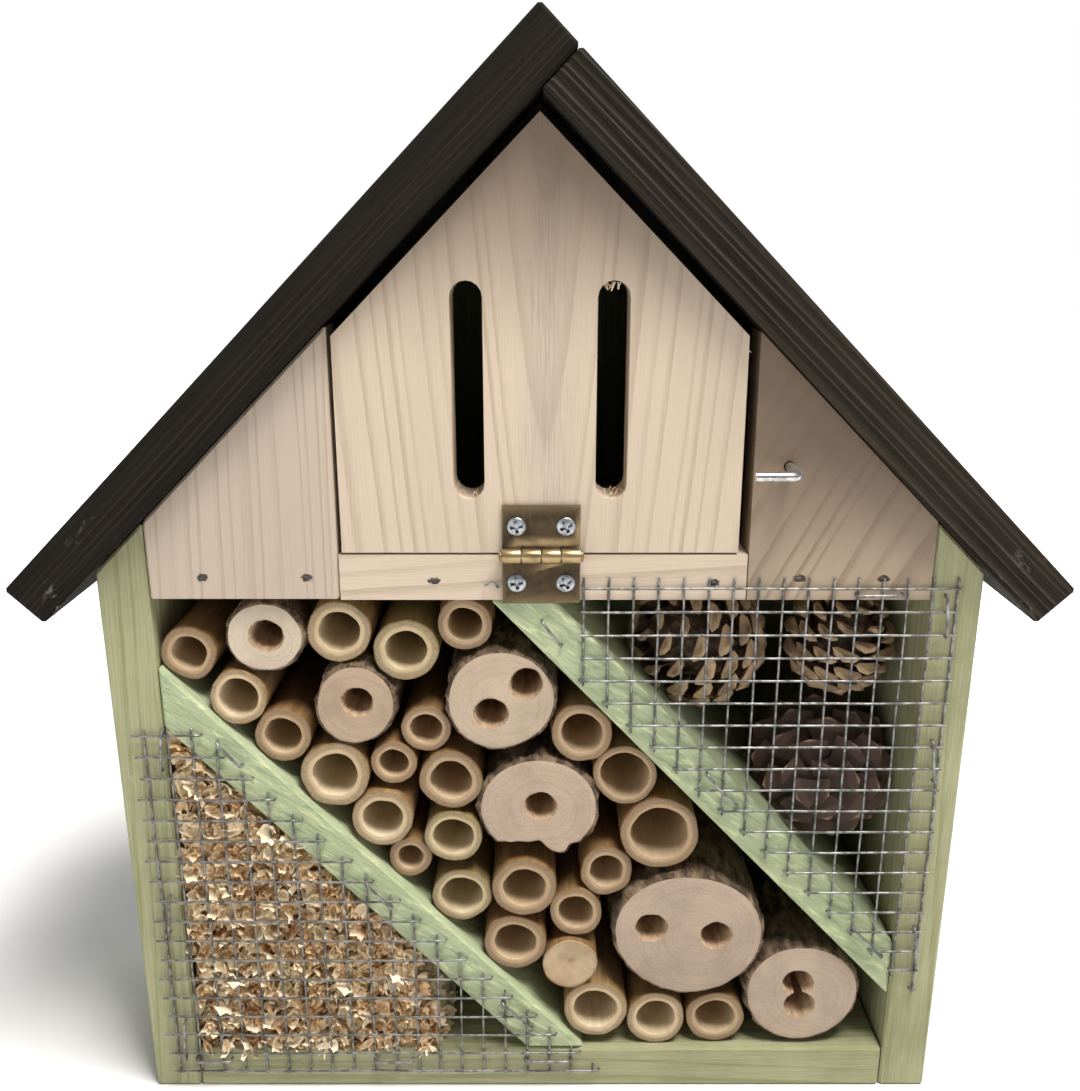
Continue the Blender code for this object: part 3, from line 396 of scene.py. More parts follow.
def bare_wood(
    name,
    pith,
    along,
    spacing,
    wander,
    early=(0.61, 0.495, 0.375),
    strength=0.6,
    taper=0.0,
    streaked=False,
    spots=(),
    painted_shade_from=206 * MM,
):
    """Planed pine. early is its pale wood, strength the darkness of its rings; above the height given last
    the colour darkens upwards as painted shade under the roof.
    """
    made, tree, shader = new_material(name, 0.62)
    rings, place, local = ringed(tree, pith, along, spacing, wander, 0.45 * MM, taper)
    late = (0.42 * early[0], 0.34 * early[1], 0.26 * early[2])
    colour = mixed(tree, times(tree, rings["Late Wood"], strength), early, late)
    colour = mixed(tree, times(tree, rings["Streak"], 0.32), colour, tint_of(early, 1.16))
    colour = mixed(tree, times(tree, rings["Patch"], 0.3), colour, tint_of(early, 0.86))
    if streaked:
        sideways = along_axis(tree, local, "X")
        bent = speckle(tree, stretched(tree, local, (1.0, 1.0, 0.2)), 90.0, 4.0, 0.7)
        bent = maths(tree, "MULTIPLY_ADD", bent, 14 * MM, sideways)
        centre = maths(tree, "ABSOLUTE", maths(tree, "SUBTRACT", bent, 7 * MM))
        grey = times(tree, ramp(tree, centre, 1 * MM, 8 * MM, 1.0, 0.0), rings["Streak"])
        colour = mixed(tree, times(tree, grey, 0.75), colour, (0.36, 0.30, 0.25))
    # Painted shade under the roof: above the given height the colour darkens upwards towards dark brown.
    high_up = along_axis(tree, place, "Z")
    painted_roof_shade = ramp(tree, high_up, painted_shade_from, painted_shade_from + 56 * MM, 0.0, 0.88)
    colour = mixed(tree, painted_roof_shade, colour, (0.15, 0.10, 0.065))
    # Painted shade: inside each brad's slit the colour is near-black, for the shade in the hollow there.
    slit = dents(tree, place, spots)
    colour = mixed(tree, slit, colour, (0.05, 0.035, 0.022))
    connect(tree, shader.inputs["Base Color"], colour)
    connect(tree, shader.inputs["Roughness"], ramp(tree, rings["Late Wood"], 0.0, 1.0, 0.68, 0.5))
    height = maths(tree, "MULTIPLY_ADD", rings["Late Wood"], 0.8, rings["Streak"])
    height = maths(tree, "MULTIPLY_ADD", slit, -6.0, height)
    add_bump(tree, shader, height, 0.3, 0.12 * MM)
    return made


door_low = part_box("butterfly_door")[0]
left_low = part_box("gable_panel_left")[0]
right_low, right_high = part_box("gable_panel_right")
sill_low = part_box("sill_rail")[0]
door_pith = (door_low.x + 52 * MM, front_face + 5 * MM, door_low.z + 40 * MM)
door_paint = bare_wood(
    "door_pine", door_pith, (0.0, 0.0, 1.0), 4.3 * MM, 5 * MM, strength=0.6, taper=0.09, streaked=True
)
coat(door_paint, "butterfly_door")
left_pith = (left_low.x - 40 * MM, 0.0, left_low.z)
coat(
    bare_wood(
        "left_gable_pine",
        left_pith,
        (0.04, 0.02, 1.0),
        3.2 * MM,
        5 * MM,
        (0.52, 0.425, 0.335),
        0.5,
        spots=brad_places[:2],
    ),
    "gable_panel_left",
)
right_pith = (right_high.x + 10 * MM, -20 * MM, right_low.z + 20 * MM)
coat(
    bare_wood(
        "right_gable_pine",
        right_pith,
        (0.45, 0.1, 1.0),
        4.6 * MM,
        12 * MM,
        (0.47, 0.37, 0.26),
        1.0,
        spots=brad_places[4:],
        painted_shade_from=138 * MM,
    ),
    "gable_panel_right",
)
sill_pith = (0.0, front_face - 4 * MM, sill_low.z - 16 * MM)
coat(
    bare_wood(
        "sill_pine",
        sill_pith,
        (1.0, 0.03, 0.06),
        4.5 * MM,
        14 * MM,
        (0.63, 0.51, 0.39),
        spots=brad_places[2:4],
    ),
    "sill_rail",
)


# The roof: two boards stained black-brown, the left one lapping over the top end of the right one. The
# stain lies deep in the soft wood and thin on the hard rings, and the lower ends are scuffed down to pale
# wood.

def stained_wood(name, pith, along, thin):
    """thin says how much of the red wood shows through the stain."""
    made, tree, shader = new_material(name, 0.7)
    shader.inputs["Specular IOR Level"].default_value = 0.06
    rings, place, local = ringed(tree, pith, along, 1.8 * MM, 5 * MM, 0.7 * MM)
    ridge = (0.075 * thin, 0.06 * thin, 0.045 * thin)
    colour = mixed(tree, rings["Late Wood"], (0.0095, 0.0085, 0.0065), ridge)
    colour = mixed(tree, times(tree, rings["Streak"], 0.5), colour, (0.024, 0.021, 0.0165))
    colour = mixed(
        tree, times(tree, rings["Patch"], 0.35), colour, (0.04 * thin, 0.030 * thin, 0.021 * thin)
    )
    height_here = along_axis(tree, place, "Z")
    near_eave = ramp(tree, height_here, 145 * MM, 185 * MM, 1.0, 0.0)
    flakes = speckle(tree, stretched(tree, local, (1.0, 1.0, 0.45)), 420.0, 6.0, 0.75)
    clump = speckle(tree, place, 60.0, 2.0)
    scuff = times(tree, ramp(tree, flakes, 0.56, 0.64), ramp(tree, clump, 0.5, 0.62))
    scuff = times(tree, scuff, near_eave)
    colour = mixed(tree, times(tree, scuff, 0.75), colour, (0.42, 0.40, 0.36))
    connect(tree, shader.inputs["Base Color"], colour)
    rough = mixed(tree, scuff, (0.68, 0.68, 0.68), (0.9, 0.9, 0.9))
    connect(tree, shader.inputs["Roughness"], rough)
    height = maths(tree, "MULTIPLY_ADD", rings["Late Wood"], 0.9, rings["Streak"])
    add_bump(tree, shader, height, 0.6, 0.3 * MM)
    return made


down_left = Vector((-1, 0, -1)).normalized()
down_right = Vector((1, 0, -1)).normalized()
# The door stop shares the left board's black-brown stain as painted shade at the apex, under the roof.
coat(stained_wood("stain_left", (-0.03, 0.0, 0.30), down_left, 0.55), "roof_board_left", "door_stop")
coat(
    stained_wood("stain_right", (0.02, -0.03, 0.31), down_right + Vector((0, 0.02, 0.01)), 1.15),
    "roof_board_right",
)


# The bamboo: short sawn canes pushed into the band, open at the front down to the first node's wall. The
# cut end is pale and fibrous with dark bundles near the skin, and the skin swells a little at each node.

def set_inputs(modifier, **values):
    """Sets a Geometry Nodes modifier's inputs. An underscore in a name stands for a space."""
    sockets = {item.name: item.identifier for item in modifier.node_group.interface.items_tree}
    for name, value in values.items():
        modifier[sockets[name.replace("_", " ")]] = value


def grown(name, source_mesh, tree, **values):
    """The plain mesh object that a Geometry Nodes tree makes from source_mesh."""
    source = in_scene(name + "_source", source_mesh)
    modifier = source.modifiers.new(tree.name, "NODES")
    modifier.node_group = tree
    set_inputs(modifier, **values)
    bpy.context.view_layer.update()
    mesh = bpy.data.meshes.new_from_object(source.evaluated_get(bpy.context.evaluated_depsgraph_get()))
    bpy.data.objects.remove(source)
    mesh.name = name
    return in_scene(name, mesh)


def new_tree(name, **sizes):
    """A tree with these inputs and a material. An underscore in a name stands for a space."""
    inputs = {label.replace("_", " "): kind for label, kind in sizes.items()}
    inputs = {"Geometry": "Geometry", **inputs, "Material": "Material"}
    tree, given, result = new_group(name, "GeometryNodeTree", inputs, {"Geometry": "Geometry"})
    tree.is_modifier = True
    return tree, given, result


def noted_value(tree, name):
    """What a piece's own attribute of this name says at each point."""
    return add_node(tree, "ShaderNodeAttribute", attribute_name=name).outputs["Fac"]


def unit_grid(tree, across, along):
    """A grid one unit wide and long, and the place of each of its points."""
    size = {"Size X": 1.0, "Size Y": 1.0, "Vertices X": across, "Vertices Y": along}
    grid = add_node(tree, "GeometryNodeMeshGrid", size)
    spot = add_node(tree, "GeometryNodeInputPosition")
    return grid, add_node(tree, "ShaderNodeSeparateXYZ", {0: spot}).outputs


def note(tree, geometry, name, value, domain="POINT"):
    """The geometry with a value stored under a name, for its material to read."""
    inputs = {"Geometry": geometry, "Name": name, "Value": value}
    return add_node(tree, "GeometryNodeStoreNamedAttribute", inputs, data_type="FLOAT", domain=domain)


def climb(tree, value, start, end):
    """A straight climb from 0 at start to 1 at end."""
    return add_node(tree, "ShaderNodeMapRange", dict(enumerate((value, start, end, 0.0, 1.0)))).outputs[0]


def chance_between(tree, low, high, seed):
    """A different number between low and high for each point or instance."""
    inputs = {2: low, 3: high, "Seed": seed}
    return add_node(tree, "FunctionNodeRandomValue", inputs, data_type="FLOAT").outputs[1]


def close_tree(tree, geometry, material, result):
    """The common end of each tree: shading, plain geometry and the material."""
    shaded = add_node(tree, "GeometryNodeSetShadeSmooth", {"Geometry": geometry, "Shade Smooth": True})
    plain = add_node(tree, "GeometryNodeRealizeInstances", {"Geometry": shaded})
    painted = add_node(tree, "GeometryNodeSetMaterial", {"Geometry": plain, "Material": material})
    connect(tree, result["Geometry"], painted)


def make_cane_tree():
    """A grid rolled up: its first edge closes the bore at the node's wall, its last closes the far end."""
    tree, given, result = new_tree(
        "cane",
        Front="Vector",
        Outer_Radius="Float",
        Bore_Radius="Float",
        Length="Float",
        Bore_Depth="Float",
        Ovality="Float",
        Swelling_Behind="Float",
        Seed="Float",
    )
    grid, place = unit_grid(tree, 49, 61)
    angle = times(tree, maths(tree, "ADD", place["X"], 0.5), -2 * math.pi)
    along = maths(tree, "ADD", place["Y"], 0.5)
    sine, cosine = maths(tree, "SINE", angle), maths(tree, "COSINE", angle)
    rim = ramp(tree, along, 0.42, 0.60)
    around = vector_of(tree, cosine, sine, given["Seed"])
    lumps = maths(tree, "SUBTRACT", speckle(tree, around, 0.9, 2.0), 0.5)
    fine = maths(tree, "SUBTRACT", speckle(tree, around, 7.0, 3.0), 0.5)
    squash = maths(tree, "COSINE", maths(tree, "MULTIPLY_ADD", angle, 2.0, given["Seed"]))
    outline = maths(tree, "MULTIPLY_ADD", squash, given["Ovality"], 1.0)
    outline = maths(tree, "MULTIPLY_ADD", lumps, 0.22, outline)
    outline = maths(tree, "MULTIPLY_ADD", fine, 0.035, outline)
    wall = maths(tree, "SUBTRACT", given["Outer Radius"], given["Bore Radius"])
    radius = maths(tree, "MULTIPLY_ADD", rim, wall, given["Bore Radius"])
    closed = times(tree, climb(tree, along, 0.0, 0.08), climb(tree, along, 1.0, 0.96))
    inner = maths(tree, "POWER", climb(tree, along, 0.42, 0.08), 1.4)
    dish = maths(tree, "POWER", climb(tree, along, 0.08, 0.0), 2.0)
    outer = maths(tree, "POWER", climb(tree, along, 0.60, 0.96), 1.8)
    depth = times(tree, inner, given["Bore Depth"])
    depth = maths(tree, "MULTIPLY_ADD", dish, times(tree, given["Bore Radius"], 0.22), depth)
    depth = maths(tree, "MULTIPLY_ADD", outer, given["Length"], depth)
    edge = maths(tree, "ABSOLUTE", maths(tree, "MULTIPLY_ADD", rim, 2.0, -1.0))
    depth = maths(tree, "MULTIPLY_ADD", maths(tree, "POWER", edge, 12.0), 0.18 * MM, depth)
    sawn = speckle(tree, vector_of(tree, cosine, sine, rim), 9.0, 3.0)
    depth = maths(tree, "MULTIPLY_ADD", sawn, 0.3 * MM, depth)
    away = maths(tree, "DIVIDE", maths(tree, "SUBTRACT", depth, given["Swelling Behind"]), 2.2 * MM)
    swelling = maths(tree, "EXPONENT", times(tree, times(tree, away, away), -1.0))
    swelling = times(tree, times(tree, swelling, rim), 0.45 * MM)
    radius = times(tree, maths(tree, "MULTIPLY_ADD", radius, outline, swelling), closed)
    round_place = vector_of(tree, times(tree, radius, cosine), depth, times(tree, radius, sine))
    moved = vector_maths(tree, "ADD", round_place, given["Front"])
    noted = note(tree, grid, "rim", rim)
    rolled = add_node(tree, "GeometryNodeSetPosition", {"Geometry": noted, "Position": moved})
    welded = add_node(tree, "GeometryNodeMergeByDistance", {"Geometry": rolled, "Distance": 0.005 * MM})
    close_tree(tree, welded, given["Material"], result)
    return tree


def bamboo_finish(name, ring, inside, skin):
    made, tree, shader = new_material(name, 0.6)
    rim = noted_value(tree, "rim")
    place = piece_place(tree)
    lengthwise = stretched(tree, place, (1.0, 0.06, 1.0))
    bundles = speckle(tree, lengthwise, 2600.0, 2.0)
    streaks = speckle(tree, lengthwise, 620.0, 4.0, 0.65)
    stain = speckle(tree, place, 75.0, 3.0, 0.6)
    layer = maths(tree, "MULTIPLY_ADD", stain, 0.5, rim)
    face = mixed(tree, ramp(tree, layer, 0.5, 0.8), ring, tint_of(ring, 0.60))
    face = mixed(tree, ramp(tree, rim, 0.84, 0.97), face, tint_of(skin, 0.4))
    dots = times(tree, ramp(tree, bundles, 0.48, 0.64), ramp(tree, rim, 0.2, 0.9))
    face = mixed(tree, times(tree, dots, 0.7), face, (0.15, 0.085, 0.04))
    bore = mixed(tree, ramp(tree, streaks, 0.35, 0.7, 0.0, 0.5), inside, tint_of(inside, 0.75))
    bore = mixed(tree, ramp(tree, stain, 0.5, 0.75, 0.0, 0.5), bore, (0.34, 0.24, 0.14))
    hide = mixed(tree, ramp(tree, streaks, 0.3, 0.7), skin, tint_of(skin, 0.5))
    hide = mixed(tree, ramp(tree, stain, 0.45, 0.7, 0.0, 0.7), hide, (0.16, 0.085, 0.035))
    colour = mixed(tree, ramp(tree, rim, 0.0, 0.06), bore, face)
    colour = mixed(tree, ramp(tree, rim, 0.93, 1.0), colour, hide)
    colour = mixed(tree, ramp(tree, stain, 0.3, 0.8, 0.0, 0.35), colour, (0.36, 0.22, 0.10))
    connect(tree, shader.inputs["Base Color"], colour)
    connect(tree, shader.inputs["Roughness"], ramp(tree, rim, 0.95, 1.0, 0.72, 0.45))
    add_bump(tree, shader, maths(tree, "ADD", bundles, streaks), 0.35, 0.25 * MM)
    return made


def stick_size(name):
    """(centre of the front end, outer radius, bore radius, bore depth, length) of a round CAD stick."""
    low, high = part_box(name)
    centre = (low + high) / 2
    points = [corner.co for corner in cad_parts[name].data.vertices]
    spread = [(math.hypot(p.x - centre.x, p.z - centre.z), p.y - low.y) for p in points]
    bore = min(radius for radius, depth in spread if depth < 0.1 * MM)
    depth = max(
        depth for radius, depth in spread if radius < bore + 0.1 * MM and depth < 0.9 * (high.y - low.y)
    )
    outer = max(radius for radius, depth in spread)
    return Vector((centre.x, low.y, centre.z)), outer, bore, depth, high.y - low.y


cane_tree = make_cane_tree()
cane_finishes = [
    bamboo_finish("bamboo_pale", (0.60, 0.46, 0.28), (0.72, 0.60, 0.41), (0.44, 0.28, 0.12)),
    bamboo_finish("bamboo_brown", (0.46, 0.32, 0.19), (0.60, 0.46, 0.30), (0.36, 0.205, 0.085)),
    bamboo_finish("bamboo_olive", (0.54, 0.43, 0.25), (0.66, 0.56, 0.37), (0.36, 0.27, 0.11)),
]
cane_names = sorted(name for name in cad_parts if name.startswith("bamboo"))
chance = random.Random(4)
for number, name in enumerate(cane_names):
    front, outer, bore, depth, length = stick_size(name)
    cane = grown(
        name + "_cane",
        bpy.data.meshes.new("empty"),
        cane_tree,
        Front=front,
        Outer_Radius=0.985 * outer,
        Bore_Radius=max(bore, 0.4 * MM),
        Length=length - 1 * MM,
        Bore_Depth=max(depth, 0.3 * MM),
        Ovality=chance.uniform(0.0, 0.045),
        Swelling_Behind=chance.uniform(6, 30) * MM,
        Seed=3.7 * number,
        Material=cane_finishes[chance.choice((0, 0, 1, 1, 2))],
    )
    cane.data.set_sharp_from_angle(angle=math.radians(38))
    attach(cane, "house")
    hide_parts(name)


# The logs: branch wood sawn across, bark left on, drilled from the front. Growth rings and fine saw marks
# show on the ends; one log broke away along its lower edge when it was sawn.

def end_grain(name, centre, tone):
    made, tree, shader = new_material(name, 0.8)
    rings, place, _ = ringed(tree, centre, (0.02, 1.0, 0.03), 1.9 * MM, 6 * MM, 0.5 * MM)
    flat = stretched(tree, place, (1.0, 0.0, 1.0))
    saw = speckle(tree, stretched(tree, flat, (1.0, 1.0, 5.0)), 210.0, 3.0)
    pores = speckle(tree, flat, 1500.0, 2.0)
    colour = mixed(tree, times(tree, rings["Late Wood"], 0.32), tone, tint_of(tone, 0.62))
    colour = mixed(tree, ramp(tree, saw, 0.4, 0.75, 0.0, 0.25), colour, tint_of(tone, 1.2))
    colour = mixed(tree, ramp(tree, pores, 0.52, 0.7, 0.0, 0.3), colour, tint_of(tone, 0.55))
    stain = speckle(tree, flat, 70.0, 4.0, 0.6)
    colour = mixed(tree, ramp(tree, stain, 0.42, 0.7, 0.0, 0.5), colour, tint_of(tone, 0.66))
    pale = speckle(tree, flat, 45.0, 2.0)
    colour = mixed(tree, ramp(tree, pale, 0.5, 0.7, 0.0, 0.4), colour, tint_of(tone, 1.25))
    connect(tree, shader.inputs["Base Color"], colour)
    add_bump(tree, shader, maths(tree, "ADD", saw, pores), 0.35, 0.25 * MM)
    return made


def bark_finish():
    made, tree, shader = new_material("bark", 0.95)
    place = piece_place(tree)
    lengthwise = stretched(tree, place, (1.0, 0.35, 1.0))
    plates = speckle(tree, lengthwise, 300.0, 5.0, 0.7)
    colour = mixed(tree, ramp(tree, plates, 0.4, 0.62), (0.055, 0.036, 0.022), (0.23, 0.155, 0.095))
    colour = mixed(tree, ramp(tree, plates, 0.62, 0.75), colour, (0.36, 0.29, 0.21))
    connect(tree, shader.inputs["Base Color"], colour)
    add_bump(tree, shader, plates, 1.0, 0.8 * MM)
    return made


def drilled_finish():
    made, tree, shader = new_material("drilled_hole", 0.9)
    place = piece_place(tree)
    lengthwise = stretched(tree, place, (1.0, 0.25, 1.0))
    torn = speckle(tree, lengthwise, 700.0, 4.0, 0.7)
    colour = mixed(tree, ramp(tree, torn, 0.35, 0.7), (0.52, 0.37, 0.24), (0.30, 0.19, 0.11))
    connect(tree, shader.inputs["Base Color"], colour)
    add_bump(tree, shader, torn, 0.8, 0.4 * MM)
    return made


bark = bark_finish()
drilled = drilled_finish()


def lathe(name, centre, stations, outline, turns):
    """Rings of points round centre, one for each (radius, depth, roughness), joined into a closed skin."""
    shape = bmesh.new()
    loops = []
    for radius, depth, roughness in stations:
        loop = []
        for i in range(turns):
            angle = 2 * math.pi * i / turns
            way = Vector((math.cos(angle), 0, math.sin(angle)))
            reach = radius * outline(angle)
            spot = centre + way * reach + Vector((0, depth, 0))
            reach += roughness * noise.fractal(spot * 260, 0.6, 2.0, 4)
            loop.append(shape.verts.new(centre + way * reach + Vector((0, depth, 0))))
        loops.append(loop)
    front_cap = shape.faces.new(loops[0])
    shape.faces.new(list(reversed(loops[-1])))
    for first, second in zip(loops, loops[1:]):
        for i in range(turns):
            after = (i + 1) % turns
            shape.faces.new((first[i], second[i], second[after], first[after]))
    bmesh.ops.poke(shape, faces=[front_cap])
    bmesh.ops.recalc_face_normals(shape, faces=shape.faces)
    return in_scene(name, mesh_of(name, shape))


def settled(piece):
    """piece with its modifiers worked into its mesh."""
    bpy.context.view_layer.update()
    mesh = bpy.data.meshes.new_from_object(piece.evaluated_get(bpy.context.evaluated_depsgraph_get()))
    piece.modifiers.clear()
    piece.data = mesh
    return piece


def smooth_by_angle(piece, degrees):
    piece.data.shade_smooth()
    piece.data.set_sharp_from_angle(angle=math.radians(degrees))


def wavy_outline(ripples):
    """ripples are (waves round the log, share of the radius, phase in degrees)."""
    return lambda angle: 1 + sum(
        share * math.cos(waves * angle - math.radians(phase)) for waves, share, phase in ripples
    )


def broken_outline(angle):
    """Round above, torn off along a chord below, with one lobe left standing."""
    full = 1.04 + 0.05 * math.cos(2 * angle)
    down = -math.sin(angle)
    if down > 0.35:
        ragged = 0.035 * noise.noise(Vector((6 * angle, 0, 0)))
        full = min(full, 0.72 / down + ragged)
    lobe = math.exp(-(((math.degrees(angle) - 293) / 13) ** 2))
    notch = math.exp(-(((math.degrees(angle) - 272) / 7) ** 2))
    return full + 0.26 * lobe - 0.05 * notch


logs = {
    "log_1": (
        wavy_outline([(2, 0.01, 0), (3, 0.015, 40)]),
        ((8.0, -1.2, 3.4), (8.0, -0.4, -4.0)),
        (0.46, 0.355, 0.265),
    ),
    "log_2": (
        wavy_outline([(2, 0.05, -20), (3, 0.012, 90)]),
        ((8.2, -10.6, 2.2), (8.2, 7.8, -0.3)),
        (0.44, 0.335, 0.25),
    ),
    "log_3": (broken_outline, ((8.0, 0.5, 0.5),), (0.48, 0.365, 0.27)),
    "log_4": (
        wavy_outline([(2, 0.02, 60), (3, 0.014, 10)]),
        ((8.2, -2.6, -3.7), (8.2, 6.7, 4.8)),
        (0.52, 0.405, 0.295),
    ),
    "log_5": (wavy_outline([(2, 0.045, 150), (3, 0.01, 0)]), ((7.8, 0.5, 1.0),), (0.46, 0.34, 0.235)),
    "log_6": (wavy_outline([(2, 0.03, 20), (5, 0.01, 0)]), ((8.2, 0.4, 0.5),), (0.58, 0.48, 0.365)),
}
for name, (outline, holes, tone) in logs.items():
    front, outer, bore, depth, length = stick_size(name)
    radius = 0.955 * outer
    skin = 0.9 * MM
    stations = [(share * radius, 0.0, 0.0) for share in (0.3, 0.6, 0.85)]
    stations += [(radius - skin, 0.0, 0.12 * MM), (radius - 0.4 * skin, 0.25 * MM, 0.35 * MM)]
    stations += [(radius, depth, 0.8 * MM) for depth in [k * 1.6 * MM for k in range(1, 14)]]
    stations += [(radius, 0.5 * length, 0.8 * MM), (radius, length - 0.5 * MM, 0.3 * MM)]
    log = lathe(name + "_wood", front, stations, outline, 120)
    for paint in (
        end_grain(name + "_end", front + Vector((0.1 * radius, 0, -0.05 * radius)), tone), bark, drilled
    ):
        log.data.materials.append(paint)
    for face in log.data.polygons:
        away = math.hypot(face.center.x - front.x, face.center.z - front.z)
        angle = math.atan2(face.center.z - front.z, face.center.x - front.x) % (2 * math.pi)
        in_bark = away > (radius - skin) * outline(angle) or face.center.y > front.y + 0.1 * MM
        face.material_index = 1 if in_bark else 0
    cutters = []
    for number, (width, sideways, upwards) in enumerate(holes):
        mouth = front + Vector((sideways, 0, upwards)) * MM
        drill = lathe(
            f"{name}_drill_{number}",
            mouth,
            [(0.57 * width * MM, -1.0 * MM, 0.0), (0.56 * width * MM, 0.1 * MM, 0.3 * MM),
             (0.5 * width * MM, 0.7 * MM, 0.25 * MM), (0.49 * width * MM, 9 * MM, 0.2 * MM),
             (0.48 * width * MM, 24 * MM, 0.1 * MM)],
            wavy_outline([(2, 0.02, 70 * number)]),
            40,
        )
        cutters.append(drill)
    for drill in cutters:
        for paint in log.data.materials:
            drill.data.materials.append(paint)
        for face in drill.data.polygons:
            face.material_index = 2
        drilling = log.modifiers.new(drill.name, "BOOLEAN")
        drilling.object = drill
        drilling.solver = "EXACT"
    settled(log)
    for drill in cutters:
        bpy.data.objects.remove(drill)
    smooth_by_angle(log, 42)
    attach(log, "house")
    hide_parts(name)


# The pine cones: three open cones wedged into the right-hand corner. Woody scales stand out from a spine
# in spirals; each ends in a pale, creased shield. The inner parts of the scales and the spine are painted
# near-black as painted shade in the gaps, and the lowest cone is painted dark all over as painted shade,
# with paler scale tips.

def repeat_at(tree, points, shape, turn=(0.0, 0.0, 0.0), size=(1.0, 1.0, 1.0)):
    """The shape once at each point."""
    inputs = {"Points": points, "Instance": shape, "Rotation": turn, "Scale": size}
    return add_node(tree, "GeometryNodeInstanceOnPoints", inputs)


def join(tree, first, second):
    """Two shapes as one."""
    joined = add_node(tree, "GeometryNodeJoinGeometry", {0: first})
    connect(tree, joined.inputs[0], second)
    return joined


def make_cone_tree():
    """Scales at the golden angle round a spine. One scale is a small tube pinched shut at both ends."""
    tree, given, result = new_tree(
        "pine_cone",
        Centre="Vector",
        Spine="Vector",
        Cone_Radius="Float",
        Half_Length="Float",
        Scales="Int",
        Scale_Length="Float",
        Scale_Width="Float",
        Thickness="Float",
        Lift="Float",
        Curl="Float",
        Seed="Int",
    )
    grid, place = unit_grid(tree, 9, 7)
    angle = times(tree, maths(tree, "ADD", place["X"], 0.5), 2 * math.pi)
    along = maths(tree, "ADD", place["Y"], 0.5)
    opened = times(tree, ramp(tree, along, 0.0, 0.12), climb(tree, along, 1.0, 0.9))
    width = maths(tree, "MULTIPLY_ADD", ramp(tree, along, 0.1, 0.85), 0.36, 0.14)
    width = times(tree, times(tree, width, opened), given["Scale Width"])
    thick = maths(tree, "MULTIPLY_ADD", ramp(tree, along, 0.62, 0.86), 0.75, 0.25)
    thick = times(tree, times(tree, thick, opened), given["Thickness"])
    side = times(tree, maths(tree, "COSINE", angle), width)
    dip = times(tree, times(tree, side, side), maths(tree, "DIVIDE", -0.5, given["Scale Width"]))
    rise = maths(tree, "MULTIPLY_ADD", maths(tree, "SINE", angle), thick, dip)
    bend = times(tree, maths(tree, "POWER", along, 2.5), given["Curl"])
    rise = maths(tree, "ADD", rise, bend)
    reach = times(tree, maths(tree, "SUBTRACT", along, 1.0), given["Scale Length"])
    shaped = vector_of(tree, side, reach, rise)
    noted = note(tree, grid, "tip", along)
    scale_mesh = add_node(tree, "GeometryNodeSetPosition", {"Geometry": noted, "Position": shaped})
    scale_mesh = add_node(
        tree, "GeometryNodeMergeByDistance", {"Geometry": scale_mesh, "Distance": 0.02 * MM}
    )
    points = add_node(tree, "GeometryNodePoints", {"Count": given["Scales"]})
    index = add_node(tree, "GeometryNodeInputIndex")
    share = maths(tree, "DIVIDE", maths(tree, "ADD", index, 0.5), given["Scales"])
    turn = times(tree, index, 2.39996)
    height = maths(tree, "MULTIPLY_ADD", share, 2.0, -1.0)
    bulge = maths(tree, "SQRT", maths(tree, "SUBTRACT", 1.0, times(tree, height, height)))
    rotated = add_node(tree, "FunctionNodeAlignRotationToVector", {"Vector": given["Spine"]}, axis="Z")
    outward = vector_of(tree, maths(tree, "COSINE", turn), maths(tree, "SINE", turn), 0.0)
    tangent = vector_of(
        tree, times(tree, maths(tree, "SINE", turn), -1.0), maths(tree, "COSINE", turn), 0.0
    )
    spot = vector_maths(tree, "SCALE", outward, times(tree, bulge, given["Cone Radius"]))
    spot_up = vector_of(tree, 0.0, 0.0, times(tree, height, given["Half Length"]))
    spot = vector_maths(tree, "ADD", spot, spot_up)
    tilt = maths(tree, "MULTIPLY_ADD", height, 1.0, given["Lift"])
    tilt = maths(tree, "ADD", tilt, chance_between(tree, -0.12, 0.12, given["Seed"]))
    pointing = vector_maths(tree, "SCALE", outward, maths(tree, "COSINE", tilt))
    pointing_up = vector_of(tree, 0.0, 0.0, maths(tree, "SINE", tilt))
    pointing = vector_maths(tree, "ADD", pointing, pointing_up)
    turned_spot = add_node(tree, "FunctionNodeRotateVector", {"Vector": spot, "Rotation": rotated})
    turned_way = add_node(tree, "FunctionNodeRotateVector", {"Vector": pointing, "Rotation": rotated})
    turned_side = add_node(tree, "FunctionNodeRotateVector", {"Vector": tangent, "Rotation": rotated})
    facing = add_node(
        tree,
        "FunctionNodeAxesToRotation",
        {"Primary Axis": turned_way, "Secondary Axis": turned_side},
        primary_axis="Y",
        secondary_axis="X",
    )
    size = chance_between(tree, 0.85, 1.1, given["Seed"])
    size = times(tree, size, maths(tree, "MULTIPLY_ADD", bulge, 0.45, 0.6))
    at = add_node(
        tree,
        "GeometryNodeSetPosition",
        {"Geometry": points, "Position": vector_maths(tree, "ADD", turned_spot, given["Centre"])},
    )
    placed = repeat_at(tree, at, scale_mesh, facing, size)
    spine = add_node(tree, "GeometryNodeMeshIcoSphere", {"Radius": 1.0, "Subdivisions": 3})
    core_width = times(tree, given["Cone Radius"], 0.55)
    core_length = times(tree, given["Half Length"], 0.75)
    core_size = vector_of(tree, core_width, core_width, core_length)
    core = add_node(
        tree,
        "GeometryNodeTransform",
        {"Geometry": spine, "Translation": given["Centre"], "Rotation": rotated, "Scale": core_size},
    )
    joined = join(tree, placed, core)
    close_tree(tree, joined, given["Material"], result)
    return tree


